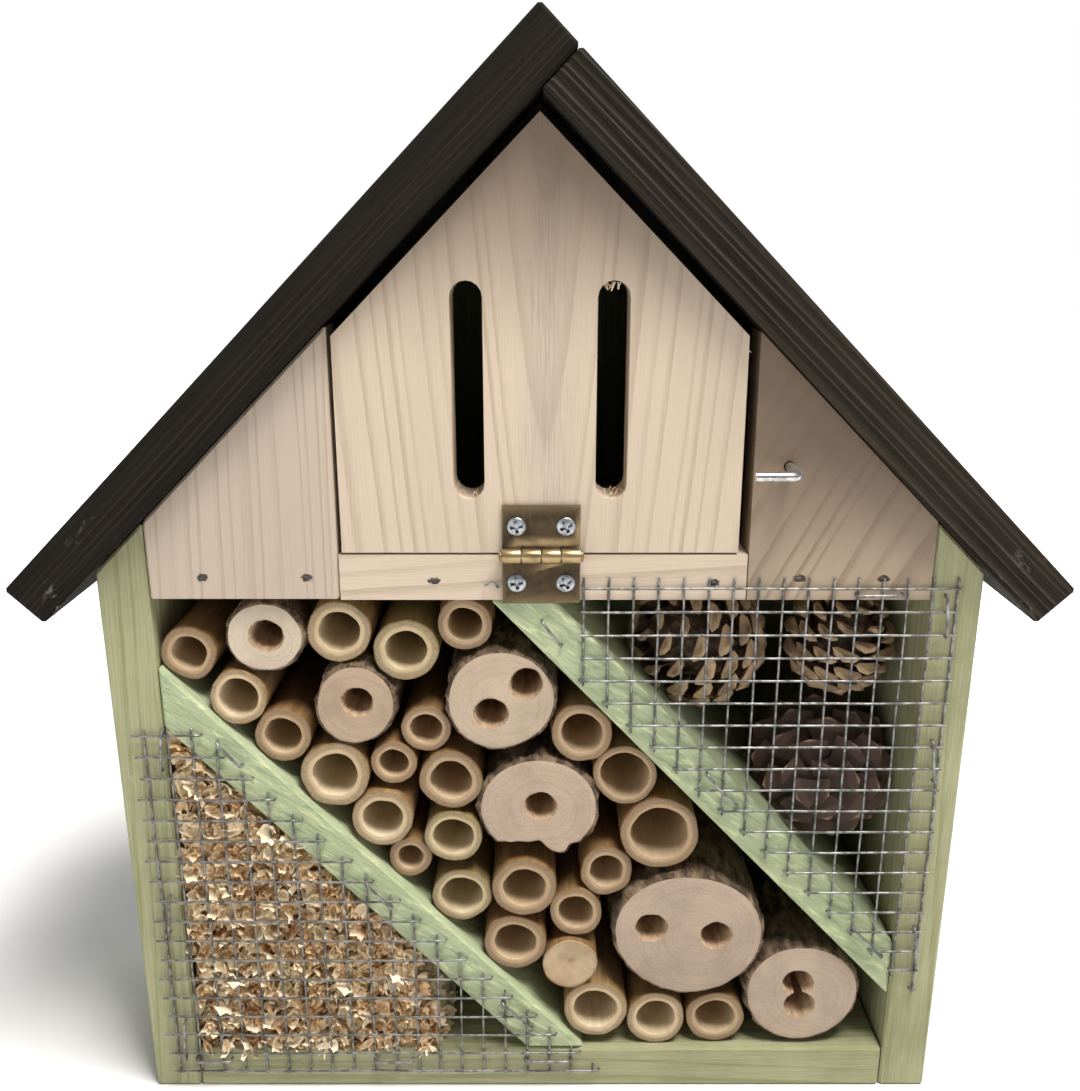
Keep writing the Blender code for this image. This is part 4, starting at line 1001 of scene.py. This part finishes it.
def cone_finish(name, shield, flesh_in_shade, edge):
    made, tree, shader = new_material(name, 0.7)
    tip = noted_value(tree, "tip")
    place = piece_place(tree)
    fibres = speckle(tree, place, 520.0, 4.0, 0.65)
    cloud = speckle(tree, place, 110.0, 2.0)
    # Painted shade: the inner parts of the scales and the spine take the near-black flesh colour, for the
    # shade in the gaps between the scales.
    colour = mixed(tree, ramp(tree, tip, 0.64, 0.76), flesh_in_shade, shield)
    colour = mixed(tree, ramp(tree, tip, 0.90, 0.97), colour, edge)
    colour = mixed(tree, ramp(tree, fibres, 0.4, 0.7, 0.0, 0.6), colour, tint_of(shield, 0.55))
    colour = mixed(tree, ramp(tree, cloud, 0.45, 0.7, 0.0, 0.6), colour, tint_of(flesh_in_shade, 0.8))
    connect(tree, shader.inputs["Base Color"], colour)
    add_bump(tree, shader, fibres, 0.5, 0.4 * MM)
    return made


cone_tree = make_cone_tree()
tan_cone = cone_finish("pine_cone_tan", (0.50, 0.345, 0.20), (0.06, 0.028, 0.016), (0.27, 0.16, 0.085))
# The lowest cone's finish is a shaded copy of the tan one: painted shade, near-black shields with paler
# tips.
shaded_cone = cone_finish("pine_cone_shaded", (0.085, 0.045, 0.030), (0.045, 0.022, 0.014), (0.33, 0.22, 0.14))
cones = {
    "left": (tan_cone, (-0.9, -0.45, 0.35), 84, 9.5, 8.8, 3.6, 0.35, 0.8),
    "right": (tan_cone, (0.3, -0.35, 0.9), 72, 9.5, 7.8, 3.2, 0.3, 0.6),
    "lower": (shaded_cone, (0.25, 1.0, -0.1), 58, 12.0, 11.5, 1.1, 0.75, 2.4),
}
for label, (finish, spine, count, length, width, thick, lift, curl) in cones.items():
    low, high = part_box(f"pine_cone_{label}")
    reach = min((high - low) / 2)
    cone = grown(
        f"pine_cone_{label}_scales",
        bpy.data.meshes.new("empty"),
        cone_tree,
        Centre=(low + high) / 2,
        Spine=Vector(spine).normalized(),
        Cone_Radius=reach + 1.0 * MM,
        Half_Length=1.08 * reach,
        Scales=count,
        Scale_Length=length * MM,
        Scale_Width=width * MM,
        Thickness=0.5 * thick * MM,
        Lift=lift,
        Curl=curl * MM,
        Seed=len(label),
        Material=finish,
    )
    smooth_by_angle(cone, 45)
    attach(cone, "house")
    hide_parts(f"pine_cone_{label}")


# The wood shavings: curled flakes from a plane, tipped into the left-hand corner and held there by the
# wire. They fill the corner to a loose slope, and a few lie over the edge of the bottom board.

def make_flake_tree():
    """Curled flakes strewn over the source's faces, on a lumpy core that closes the gaps behind them."""
    tree, given, result = new_tree(
        "flakes", Density="Float", Flake_Length="Float", Flake_Width="Float", Curl="Float", Seed="Int"
    )
    strip, place = unit_grid(tree, 3, 7)
    bend = times(tree, place["Y"], given["Curl"])
    radius = maths(tree, "DIVIDE", given["Flake Length"], given["Curl"])
    taper = maths(tree, "SUBTRACT", 1.0, times(tree, maths(tree, "ABSOLUTE", place["Y"]), 0.9))
    side = times(tree, times(tree, place["X"], taper), given["Flake Width"])
    dish = times(tree, maths(tree, "ABSOLUTE", side), 0.35)
    up = times(tree, maths(tree, "SUBTRACT", 1.0, maths(tree, "COSINE", bend)), radius)
    rolled = vector_of(
        tree,
        maths(tree, "MULTIPLY_ADD", bend, 0.35 * MM, side),
        times(tree, maths(tree, "SINE", bend), radius),
        maths(tree, "ADD", up, dish),
    )
    flake = add_node(tree, "GeometryNodeSetPosition", {"Geometry": strip, "Position": rolled})
    facing = add_node(tree, "ShaderNodeSeparateXYZ", {0: add_node(tree, "GeometryNodeInputNormal")}).outputs
    in_sight = maths(tree, "MAXIMUM", times(tree, facing["Y"], -1.0), facing["X"])
    density = times(tree, given["Density"], ramp(tree, in_sight, 0.2, 0.8))
    spread = add_node(
        tree,
        "GeometryNodeDistributePointsOnFaces",
        {"Mesh": given["Geometry"], "Density": density, "Seed": given["Seed"]},
    )
    twist = add_node(
        tree,
        "FunctionNodeRandomValue",
        {"Min": (-0.9, -0.8, 0.0), "Max": (0.9, 0.8, 6.28), "Seed": given["Seed"]},
        data_type="FLOAT_VECTOR",
    )
    turns = {"Rotation": spread.outputs["Rotation"], "Rotate By": twist.outputs[0]}
    lying = add_node(tree, "FunctionNodeRotateRotation", turns, rotation_space="LOCAL")
    size = add_node(
        tree,
        "FunctionNodeRandomValue",
        {"Min": (0.35, 0.35, 0.4), "Max": (1.45, 1.5, 2.0), "Seed": given["Seed"]},
        data_type="FLOAT_VECTOR",
    )
    lift = chance_between(tree, -0.8 * MM, 1.0 * MM, given["Seed"])
    raised = vector_maths(tree, "SCALE", spread.outputs["Normal"], lift)
    lifted = add_node(
        tree, "GeometryNodeSetPosition", {"Geometry": spread.outputs["Points"], "Offset": raised}
    )
    placed = repeat_at(tree, lifted, flake, lying, size.outputs[0])
    tone = chance_between(tree, 0.02, 1.0, given["Seed"])
    toned = note(tree, placed, "tone", tone, "INSTANCE")
    joined = join(tree, toned, given["Geometry"])
    close_tree(tree, joined, given["Material"], result)
    return tree


def flake_finish():
    made, tree, shader = new_material("wood_flakes", 0.75)
    tone = noted_value(tree, "tone")
    place = piece_place(tree)
    fibres = speckle(tree, place, 900.0, 3.0, 0.6)
    colour = mixed(tree, ramp(tree, tone, 0.0, 0.35), (0.60, 0.33, 0.14), (0.84, 0.62, 0.37))
    colour = mixed(tree, ramp(tree, tone, 0.35, 0.75), colour, (0.98, 0.85, 0.62))
    colour = mixed(tree, ramp(tree, fibres, 0.45, 0.75, 0.0, 0.45), colour, (0.48, 0.31, 0.15))
    patches = speckle(tree, place, 95.0, 2.0)
    colour = mixed(tree, ramp(tree, patches, 0.5, 0.68, 0.0, 0.45), colour, (0.74, 0.45, 0.20))
    # Painted shade: the core, where no flake lies, is coloured dark brown for the shade deep in the heap
    # between the flakes.
    core = add_node(tree, "ShaderNodeMath", {0: tone, 1: 0.0}, operation="COMPARE")
    core.inputs[2].default_value = 0.00001
    colour = mixed(tree, core.outputs[0], colour, (0.36, 0.235, 0.125))
    connect(tree, shader.inputs["Base Color"], colour)
    add_bump(tree, shader, fibres, 0.4, 0.2 * MM)
    return made


def heap_surface(name, spacing):
    """The CAD heap's outside cut into small faces, its front and slope made lumpy."""
    shape = bmesh.new()
    shape.from_mesh(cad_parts["wood_shavings"].data)
    bmesh.ops.remove_doubles(shape, verts=shape.verts, dist=0.01 * MM)
    bmesh.ops.triangulate(shape, faces=shape.faces)
    for _ in range(9):
        long_edges = [edge for edge in shape.edges if edge.calc_length() > spacing]
        if not long_edges:
            break
        bmesh.ops.subdivide_edges(shape, edges=long_edges, cuts=1, use_grid_fill=False)
        bmesh.ops.triangulate(shape, faces=[face for face in shape.faces if len(face.verts) > 3])
    bmesh.ops.recalc_face_normals(shape, faces=shape.faces)
    shape.normal_update()
    for corner in list(shape.verts):
        lump = noise.fractal(corner.co * 150, 0.7, 2.0, 4)
        corner.co -= corner.normal * (1.5 + 1.1 * lump) * MM
    return mesh_of(name, shape)


flake_paint = flake_finish()
flake_tree = make_flake_tree()
heap = grown(
    "shavings_heap",
    heap_surface("heap", 5 * MM),
    flake_tree,
    Density=330000.0,
    Flake_Length=6.2 * MM,
    Flake_Width=4.4 * MM,
    Curl=2.3,
    Seed=7,
    Material=flake_paint,
)
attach(heap, "house")
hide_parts("wood_shavings")

ledge = bpy.data.meshes.new("ledge")
ledge_front = front_face + 0.9 * MM
ledge_corners = [(-97, 12.4), (-30, 12.4), (-30, 14.6), (-97, 14.6)]
ledge.from_pydata([(x * MM, ledge_front, z * MM) for x, z in ledge_corners], [], [(0, 1, 2, 3)])
spill = grown(
    "spilled_flakes",
    ledge,
    flake_tree,
    Density=330000.0,
    Flake_Length=5.0 * MM,
    Flake_Width=2.6 * MM,
    Curl=1.6,
    Seed=21,
    Material=flake_paint,
)
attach(spill, "house")


# The wire mesh: two triangles of galvanised wire, welded where the wires cross and cut in steps along the
# dividers. Nothing is quite straight, and the cut ends are bent towards the wood.

def make_wire_tree():
    """Round wire laid along every polyline of the source, with a slight wobble and a bead at each weld."""
    tree, given, result = new_tree(
        "wire",
        Welds="Object",
        Wire_Radius="Float",
        Wobble="Float",
        Bead_Radius="Float",
        Sides="Int",
        Seed="Float",
    )
    spot = add_node(tree, "GeometryNodeInputPosition")
    field = add_node(tree, "ShaderNodeTexNoise", {"Scale": 55.0, "Detail": 1.0}, noise_dimensions="4D")
    connect(tree, field.inputs["Vector"], spot)
    connect(tree, field.inputs["W"], given["Seed"])
    shift = vector_maths(tree, "SUBTRACT", field.outputs["Color"], (0.5, 0.5, 0.5))
    shift = stretched(tree, shift, (1.0, 0.4, 1.0))
    shift = vector_maths(tree, "SCALE", shift, given["Wobble"])
    bent = add_node(tree, "GeometryNodeSetPosition", {"Geometry": given["Geometry"], "Offset": shift})
    line = add_node(tree, "GeometryNodeMeshToCurve", {"Mesh": bent})
    profile = add_node(tree, "GeometryNodeCurvePrimitiveCircle", {"Resolution": given["Sides"]})
    connect(tree, profile.inputs["Radius"], given["Wire Radius"])
    wires = add_node(
        tree, "GeometryNodeCurveToMesh", {"Curve": line, "Profile Curve": profile, "Fill Caps": True}
    )
    welds = add_node(tree, "GeometryNodeObjectInfo", {"Object": given["Welds"]}, transform_space="ORIGINAL")
    bent_welds = add_node(
        tree, "GeometryNodeSetPosition", {"Geometry": welds.outputs["Geometry"], "Offset": shift}
    )
    bead = add_node(tree, "GeometryNodeMeshIcoSphere", {"Radius": given["Bead Radius"], "Subdivisions": 1})
    beads = repeat_at(tree, bent_welds, bead)
    joined = join(tree, wires, beads)
    close_tree(tree, joined, given["Material"], result)
    return tree


def wire_finish(name, bright, dull, roughness):
    made, tree, shader = new_material(name, roughness, 0.75)
    place = piece_place(tree)
    bloom = speckle(tree, place, 420.0, 3.0, 0.6)
    connect(tree, shader.inputs["Base Color"], mixed(tree, ramp(tree, bloom, 0.38, 0.62), bright, dull))
    connect(
        tree, shader.inputs["Roughness"], ramp(tree, bloom, 0.35, 0.65, roughness - 0.1, roughness + 0.1)
    )
    return made


def polylines(name, lines):
    """A mesh of bare edges: one chain of points for each line."""
    mesh = bpy.data.meshes.new(name)
    points = []
    edges = []
    for line in lines:
        edges += [(len(points) + i, len(points) + i + 1) for i in range(len(line) - 1)]
        points += line
    mesh.from_pydata(points, edges, [])
    return mesh


def welded_wires(name, lines, welds, radius, wobble, bead, sides, seed, finish):
    """The plain piece: every line as a round wire, with a bead at each of the welds."""
    spots = bpy.data.objects.new(name + "_welds", polylines(name + "_welds", [[spot] for spot in welds]))
    made = grown(
        name,
        polylines(name, lines),
        wire_tree,
        Welds=spots,
        Wire_Radius=radius,
        Wobble=wobble,
        Bead_Radius=bead,
        Sides=sides,
        Seed=seed,
        Material=finish,
    )
    bpy.data.objects.remove(spots)
    return made


def in_steps_of(start, end, step):
    """Points from start to end, both included, no farther apart than step."""
    count = max(2, math.ceil((end - start).length / step) + 1)
    return [start.lerp(end, i / (count - 1)) for i in range(count)]


def mesh_lines(columns, rows, face):
    """Wire paths from {place: (low end, high end, bend)} of the columns and rows, in millimetres."""
    paths = []
    for x, (low, high, bend_low, bend_high) in columns.items():
        path = in_steps_of(Vector((x, face, low)), Vector((x, face, high)), 3.2)
        if bend_low:
            path.insert(0, Vector((x, face + 1.1, low - 0.3)))
        if bend_high:
            path.append(Vector((x + 0.1, face + 1.1, high + 0.3)))
        paths.append([point * MM for point in path])
    for z, (low, high, bend_low, bend_high) in rows.items():
        path = in_steps_of(Vector((low, face - 0.55, z)), Vector((high, face - 0.55, z)), 3.2)
        if bend_low:
            path.insert(0, Vector((low - 0.3, face + 0.4, z)))
        if bend_high:
            path.append(Vector((high + 0.3, face + 0.4, z - 0.1)))
        paths.append([point * MM for point in path])
    return paths


wire_tree = make_wire_tree()
galvanised = wire_finish("galvanised_wire", (0.30, 0.30, 0.29), (0.13, 0.13, 0.125), 0.5)
wire_face = front_face / MM - 0.5
pitch = 6.35
upper_right, upper_top = 106.5, 154.9
lower_left, lower_foot = -105.2, 5.9
upper_columns = {}
upper_rows = {}
for k in range(16):
    x = upper_right - pitch * k
    last = upper_top - pitch * (19 - k)
    upper_columns[x] = (last - 1.3 - 0.9 * (k % 3 == 1), 157.6, True, False)
for j in range(20):
    z = upper_top - pitch * j
    first = upper_right - pitch * min(15, 19 - j)
    upper_rows[z] = (first - 0.8, 107.2, j > 3, False)
lower_columns = {}
lower_rows = {}
for k in range(20):
    x = lower_left + pitch * k
    last = lower_foot + pitch * min(17, 19 - k)
    lower_columns[x] = (5.0, last + 1.2 + 0.5 * (k % 2), False, k > 1)
for j in range(18):
    z = lower_foot + pitch * j
    far = lower_left + pitch * min(19, 19 - j)
    lower_rows[z] = (-107.2 - 0.6 * (j % 3), far + 1.7 + 0.7 * (j % 2), False, True)
for name, columns, rows, seed in (
    ("mesh_upper", upper_columns, upper_rows, 3.1),
    ("mesh_lower", lower_columns, lower_rows, 8.6),
):
    welds = [
        Vector((x, wire_face - 0.27, z)) * MM
        for x, (low, high, *_) in columns.items()
        for z, (left, right, *_) in rows.items()
        if low <= z <= high and left <= x <= right
    ]
    paths = mesh_lines(columns, rows, wire_face)
    panel = welded_wires(name + "_wires", paths, welds, 0.33 * MM, 0.6 * MM, 0.44 * MM, 6, seed, galvanised)
    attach(panel, "house")
    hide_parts(name)


# The staples and brads: bright wire staples driven over the mesh, some bent as they went in, and the
# heads of small brads in the boards of the loft, sunk in little slits. One staple in the rail stands
# proud, bent open.

# Each is (x, z, turn in degrees, crown width, lean of one leg), in millimetres.
staples = [
    (3.1, 142.5, -53, 8.6, 0.8), (49.0, 97.9, -48, 12.6, -0.6), (92.2, 49.9, -47, 13.0, 0.4),
    (104.0, 147.3, -84, 11.0, 0.0), (104.7, 106.1, -84, 11.9, 0.5), (105.6, 48.2, -84, 12.6, -0.5),
    (86.5, 153.4, 0, 11.5, 0.0), (-100.7, 109.1, -96, 11.8, 0.6), (-103.4, 58.8, -96, 11.4, 0.0),
    (-102.8, 17.2, -95, 12.6, -0.7), (-82.7, 108.3, -51, 9.5, 0.7), (-44.6, 65.3, -50, 10.4, 0.0),
    (-6.6, 25.4, -45, 11.8, -0.8), (-95.2, 9.8, 0, 10.2, 0.0), (-42.8, 9.5, 0, 10.8, 0.6),
    (2.3, 9.8, 0, 13.0, 0.0),
]


def staple_path(x, z, turn, width, lean):
    """A flat crown between two legs that go into the wood."""
    angle = math.radians(turn)
    along = Vector((math.cos(angle), 0, math.sin(angle)))
    crown = Vector((x, wire_face - 1.25, z))
    ends = [crown - along * width / 2, crown + along * width / 2]
    sink = Vector((0, 2.6, 0))
    path = [ends[0] + sink - along * 0.2, ends[0] + Vector((0, 0.5, 0))]
    path += in_steps_of(ends[0] + along * 0.5 + Vector((0, -0.05, 0)), ends[1] - along * 0.5, 2.5)
    path += [ends[1] + Vector((0, 0.5, lean)), ends[1] + sink + along * 0.2]
    return [point * MM for point in path]


staple_wire = wire_finish("staple_wire", (0.34, 0.34, 0.33), (0.16, 0.16, 0.155), 0.42)
staple_paths = [staple_path(*staple) for staple in staples]
stapled = welded_wires("staples", staple_paths, [], 0.42 * MM, 0.9 * MM, 0.01 * MM, 6, 5.0, staple_wire)
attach(stapled, "house")

bent_open = [(-13.9, -43.0, 155.6), (-13.2, -44.6, 156.4), (-12.2, -45.2, 157.5), (-11.4, -44.7, 156.6),
             (-10.9, -43.6, 155.3), (-10.7, -42.4, 154.9)]
bent_path = [Vector(point) * MM for point in bent_open]
proud = welded_wires("bent_staple", [bent_path], [], 0.3 * MM, 0.3 * MM, 0.01 * MM, 8, 2.0, staple_wire)
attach(proud, "house")


def make_brad_tree():
    """A brad's narrow head at each point: a flattened block with rounded corners, slightly askew."""
    tree, given, result = new_tree("brad", Head="Vector", Seed="Int")
    block = add_node(
        tree, "GeometryNodeMeshCube", {"Size": given["Head"], "Vertices X": 3, "Vertices Z": 3}
    )
    rounded = add_node(tree, "GeometryNodeSubdivisionSurface", {"Mesh": block, "Level": 2})
    askew = add_node(
        tree, "FunctionNodeRandomValue", {"Min": (0, -0.3, 0), "Max": (0, 0.3, 0), "Seed": given["Seed"]},
        data_type="FLOAT_VECTOR",
    )
    placed = repeat_at(tree, given["Geometry"], rounded, askew.outputs[0])
    close_tree(tree, placed, given["Material"], result)
    return tree


brad_seats = [Vector((x, front_face / MM + 0.05, z)) * MM for x, z in brad_places]
brads = grown(
    "brads",
    polylines("brad_seats", [[seat] for seat in brad_seats]),
    make_brad_tree(),
    Head=Vector((1.9, 0.5, 0.9)) * MM,
    Seed=2,
    Material=wire_finish("brad_steel", (0.10, 0.095, 0.09), (0.05, 0.045, 0.04), 0.5),
)
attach(brads, "house")


# The torn fibres: thin splinters of the door's own pine, torn loose by the cutter where it turned at the
# ends of the slots and left standing there.

def torn_fibres(seed, middle, spread, down, count):
    """Thin curved strands, rooted within spread of middle and hanging down or standing up."""
    pick = random.Random(seed)
    strands = []
    for _ in range(count):
        root = middle + Vector((pick.uniform(-spread, spread), pick.uniform(0.2, 5.5), 0)) * MM
        bend = Vector(
            (pick.uniform(-0.9, 0.9), pick.uniform(-0.5, 0.3), down * pick.uniform(0.5, 1.9))
        ) * MM
        droop = Vector((pick.uniform(-0.5, 0.5), pick.uniform(-0.4, 0.0), 0)) * MM
        strands.append([root, root + 0.5 * bend, root + bend + droop])
    return strands


slots_low, slots_high = door_low.z + 13.8 * MM, door_low.z + 66.8 * MM
strands = []
for seed, x, z, spread, down, count in (
    (1, 17.6, slots_high - 0.5 * MM, 2.6, -1, 16),
    (2, 18.6, slots_low + 0.5 * MM, 2.4, 1, 14),
    (3, -17.4, slots_low + 0.5 * MM, 2.6, 1, 6),
):
    strands += torn_fibres(seed, Vector((x * MM, front_face, z)), spread, down, count)
pale_fibre, fibre_nodes, fibre_shader = new_material("torn_fibre", 0.8)
fibre_place = piece_place(fibre_nodes)
fibre_tone = speckle(fibre_nodes, fibre_place, 600.0, 2.0)
fibre_colour = mixed(
    fibre_nodes, ramp(fibre_nodes, fibre_tone, 0.4, 0.6), (0.80, 0.68, 0.50), (0.60, 0.47, 0.31)
)
connect(fibre_nodes, fibre_shader.inputs["Base Color"], fibre_colour)
fibres = welded_wires("slot_fibres", strands, [], 0.16 * MM, 0.3 * MM, 0.01 * MM, 4, 4.0, pale_fibre)
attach(fibres, "door")


# The hinge: a small butt hinge of thin antiqued brass, its four knuckles rolled round a pin. Handling has
# polished the knuckles and the edges of the leaves, and the flats stay dark brown.

def brass_finish():
    made, tree, shader = new_material("antique_brass", 0.4, 0.8)
    place = piece_place(tree)
    forward = along_axis(tree, place, "Y")
    cloud = speckle(tree, place, 240.0, 4.0, 0.6)
    brushed = stretched(tree, place, (1.0, 1.0, 0.08))
    lines = speckle(tree, brushed, 1800.0, 2.0)
    edge = add_node(tree, "ShaderNodeNewGeometry").outputs["Pointiness"]
    knuckle = ramp(tree, forward, front_face - 1.5 * MM, front_face - 2.6 * MM)
    flat = mixed(tree, ramp(tree, cloud, 0.35, 0.7), (0.055, 0.039, 0.021), (0.095, 0.066, 0.035))
    flat = mixed(tree, ramp(tree, lines, 0.5, 0.75, 0.0, 0.3), flat, (0.15, 0.108, 0.058))
    worn = maths(tree, "MAXIMUM", times(tree, knuckle, 0.85), ramp(tree, edge, 0.54, 0.62, 0.0, 0.6))
    polished = mixed(tree, ramp(tree, cloud, 0.3, 0.75), (0.52, 0.385, 0.20), (0.27, 0.19, 0.095))
    connect(tree, shader.inputs["Base Color"], mixed(tree, worn, flat, polished))
    connect(tree, shader.inputs["Roughness"], ramp(tree, worn, 0.0, 1.0, 0.55, 0.3))
    add_bump(tree, shader, lines, 0.12, 0.05 * MM)
    return made


def refined(node, name, width, finish):
    """A welded copy of a CAD node with its sharp edges rounded by width."""
    shape = bmesh.new()
    shape.from_mesh(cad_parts[node].data)
    bmesh.ops.remove_doubles(shape, verts=shape.verts, dist=0.002 * MM)
    bmesh.ops.dissolve_limit(shape, angle_limit=math.radians(1), verts=shape.verts, edges=shape.edges)
    made = in_scene(name, mesh_of(name, shape))
    made.data.materials.clear()
    made.data.materials.append(finish)
    rounding = made.modifiers.new("rounding", "BEVEL")
    rounding.width = width
    rounding.segments = 2
    rounding.angle_limit = math.radians(40)
    settled(made)
    smooth_by_angle(made, 40)
    return made


brass = brass_finish()
for half, body in (("upper", "door"), ("lower", "house")):
    leaf = refined(f"hinge_leaf_{half}", f"leaf_{half}", 0.1 * MM, brass)
    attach(leaf, body)
    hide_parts(f"hinge_leaf_{half}")
coat(brass, "hinge_pin")


# The hinge's screws: two for each leaf, zinc-plated steel with raised heads and a cross recess, driven
# through the leaf into the pine and left turned to where they came tight.

def make_screw_tree():
    """A raised head with a cross cut into it and a tapering shank, set facing front at each point."""
    tree, given, result = new_tree(
        "screw",
        Head_Radius="Float",
        Head_Height="Float",
        Recess_Arm="Float",
        Recess_Width="Float",
        Shank_Radius="Float",
        Shank_Length="Float",
        Seed="Int",
    )
    ball = add_node(tree, "GeometryNodeMeshUVSphere", {"Radius": 1.0, "Segments": 32, "Rings": 16})
    size = vector_of(tree, given["Head Radius"], given["Head Radius"], given["Head Height"])
    head = add_node(tree, "GeometryNodeTransform", {"Geometry": ball, "Scale": size})
    lift = vector_of(tree, 0.0, 0.0, maths(tree, "ADD", given["Head Height"], 0.2 * MM))
    for first, second in (("Recess Arm", "Recess Width"), ("Recess Width", "Recess Arm")):
        bar = vector_of(tree, given[first], given[second], 2.6 * MM)
        block = add_node(tree, "GeometryNodeMeshCube", {"Size": bar})
        raised = add_node(tree, "GeometryNodeTransform", {"Geometry": block, "Translation": lift})
        cut = add_node(tree, "GeometryNodeMeshBoolean", operation="DIFFERENCE")
        tree.links.new(head.outputs[0], cut.inputs["Mesh 1"])
        tree.links.new(raised.outputs[0], cut.inputs["Mesh 2"])
        head = cut
    shank = add_node(
        tree,
        "GeometryNodeMeshCone",
        {
            "Vertices": 20, "Radius Top": 0.3 * MM, "Radius Bottom": given["Shank Radius"],
            "Depth": given["Shank Length"],
        },
    )
    turned_in = add_node(
        tree,
        "GeometryNodeTransform",
        {"Geometry": shank, "Rotation": (math.pi, 0, 0), "Translation": (0.0, 0.0, -0.7 * MM)},
    )
    screw = join(tree, head, turned_in)
    twist = chance_between(tree, 0.0, math.pi / 2, given["Seed"])
    facing = vector_of(tree, math.pi / 2, twist, 0.0)
    placed = repeat_at(tree, given["Geometry"], screw, facing)
    shaded = add_node(tree, "GeometryNodeRealizeInstances", {"Geometry": placed})
    close_tree(tree, shaded, given["Material"], result)
    return tree


def steel_finish(name, tint, roughness):
    made, tree, shader = new_material(name, roughness, 0.85)
    place = piece_place(tree)
    bloom = speckle(tree, place, 700.0, 3.0, 0.6)
    dull = tint_of(tint, 0.55)
    colour = mixed(tree, ramp(tree, bloom, 0.4, 0.65), tint, dull)
    # Painted shade: where ambient occlusion finds the surface closed in, as in the cross recess, the colour
    # goes near-black.
    painted_shade_ao = add_node(tree, "ShaderNodeAmbientOcclusion", {"Distance": 0.9 * MM}).outputs["AO"]
    colour = mixed(tree, ramp(tree, painted_shade_ao, 0.75, 0.35, 0.0, 0.92), colour, (0.02, 0.02, 0.025))
    connect(tree, shader.inputs["Base Color"], colour)
    add_bump(tree, shader, bloom, 0.1, 0.05 * MM)
    return made


screw_tree = make_screw_tree()
zinc = steel_finish("zinc_steel", (0.50, 0.53, 0.57), 0.38)
for half, body in (("upper", "door"), ("lower", "house")):
    names = [f"hinge_screw_{half}_{number}" for number in (1, 2)]
    seats = []
    for name in names:
        low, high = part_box(name)
        seats.append(Vector(((low.x + high.x) / 2, low.y + 0.62 * MM, (low.z + high.z) / 2)))
    screws = grown(
        f"hinge_screws_{half}",
        polylines("screw_seats", [[seat] for seat in seats]),
        screw_tree,
        Head_Radius=2.4 * MM,
        Head_Height=0.62 * MM,
        Recess_Arm=3.2 * MM,
        Recess_Width=0.85 * MM,
        Shank_Radius=1.15 * MM,
        Shank_Length=7.8 * MM,
        Seed=3,
        Material=zinc,
    )
    smooth_by_angle(screws, 35)
    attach(screws, body)
    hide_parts(*names)


# The hook: one piece of zinc-plated wire, bent square, screwed into the right gable panel. Its arm turns
# across the edge of the door and keeps it shut.

hook_low, hook_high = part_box("l_hook")
hook_radius = (hook_high.z - hook_low.z) / 2
hook_z = (hook_low.z + hook_high.z) / 2
stem_x = hook_high.x - hook_radius
arm_y = hook_low.y + hook_radius
bend = 2.6 * MM
hook_path = in_steps_of(
    Vector((stem_x, hook_high.y, hook_z)), Vector((stem_x, arm_y + bend, hook_z)), 3 * MM
)
for i in range(1, 8):
    angle = math.pi / 2 * i / 8
    hook_path.append(
        Vector((stem_x - bend * (1 - math.cos(angle)), arm_y + bend * (1 - math.sin(angle)), hook_z))
    )
hook_path += in_steps_of(
    Vector((stem_x - bend, arm_y, hook_z)), Vector((hook_low.x + 0.1 * MM, arm_y, hook_z)), 3 * MM
)
bright_wire = steel_finish("hook_steel", (0.66, 0.66, 0.65), 0.24)
hook = welded_wires("hook", [hook_path], [], hook_radius, 0.0, 0.01 * MM, 20, 1.0, bright_wire)
smooth_by_angle(hook, 50)
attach(hook, "hook")
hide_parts("l_hook")


# The hanger: a plate of galvanised steel with a keyhole, nailed across the hollow in the back panel, so
# that the house hangs on the head of one screw in a wall.

coat(steel_finish("galvanised_plate", (0.50, 0.51, 0.51), 0.45), "hanger_plate")
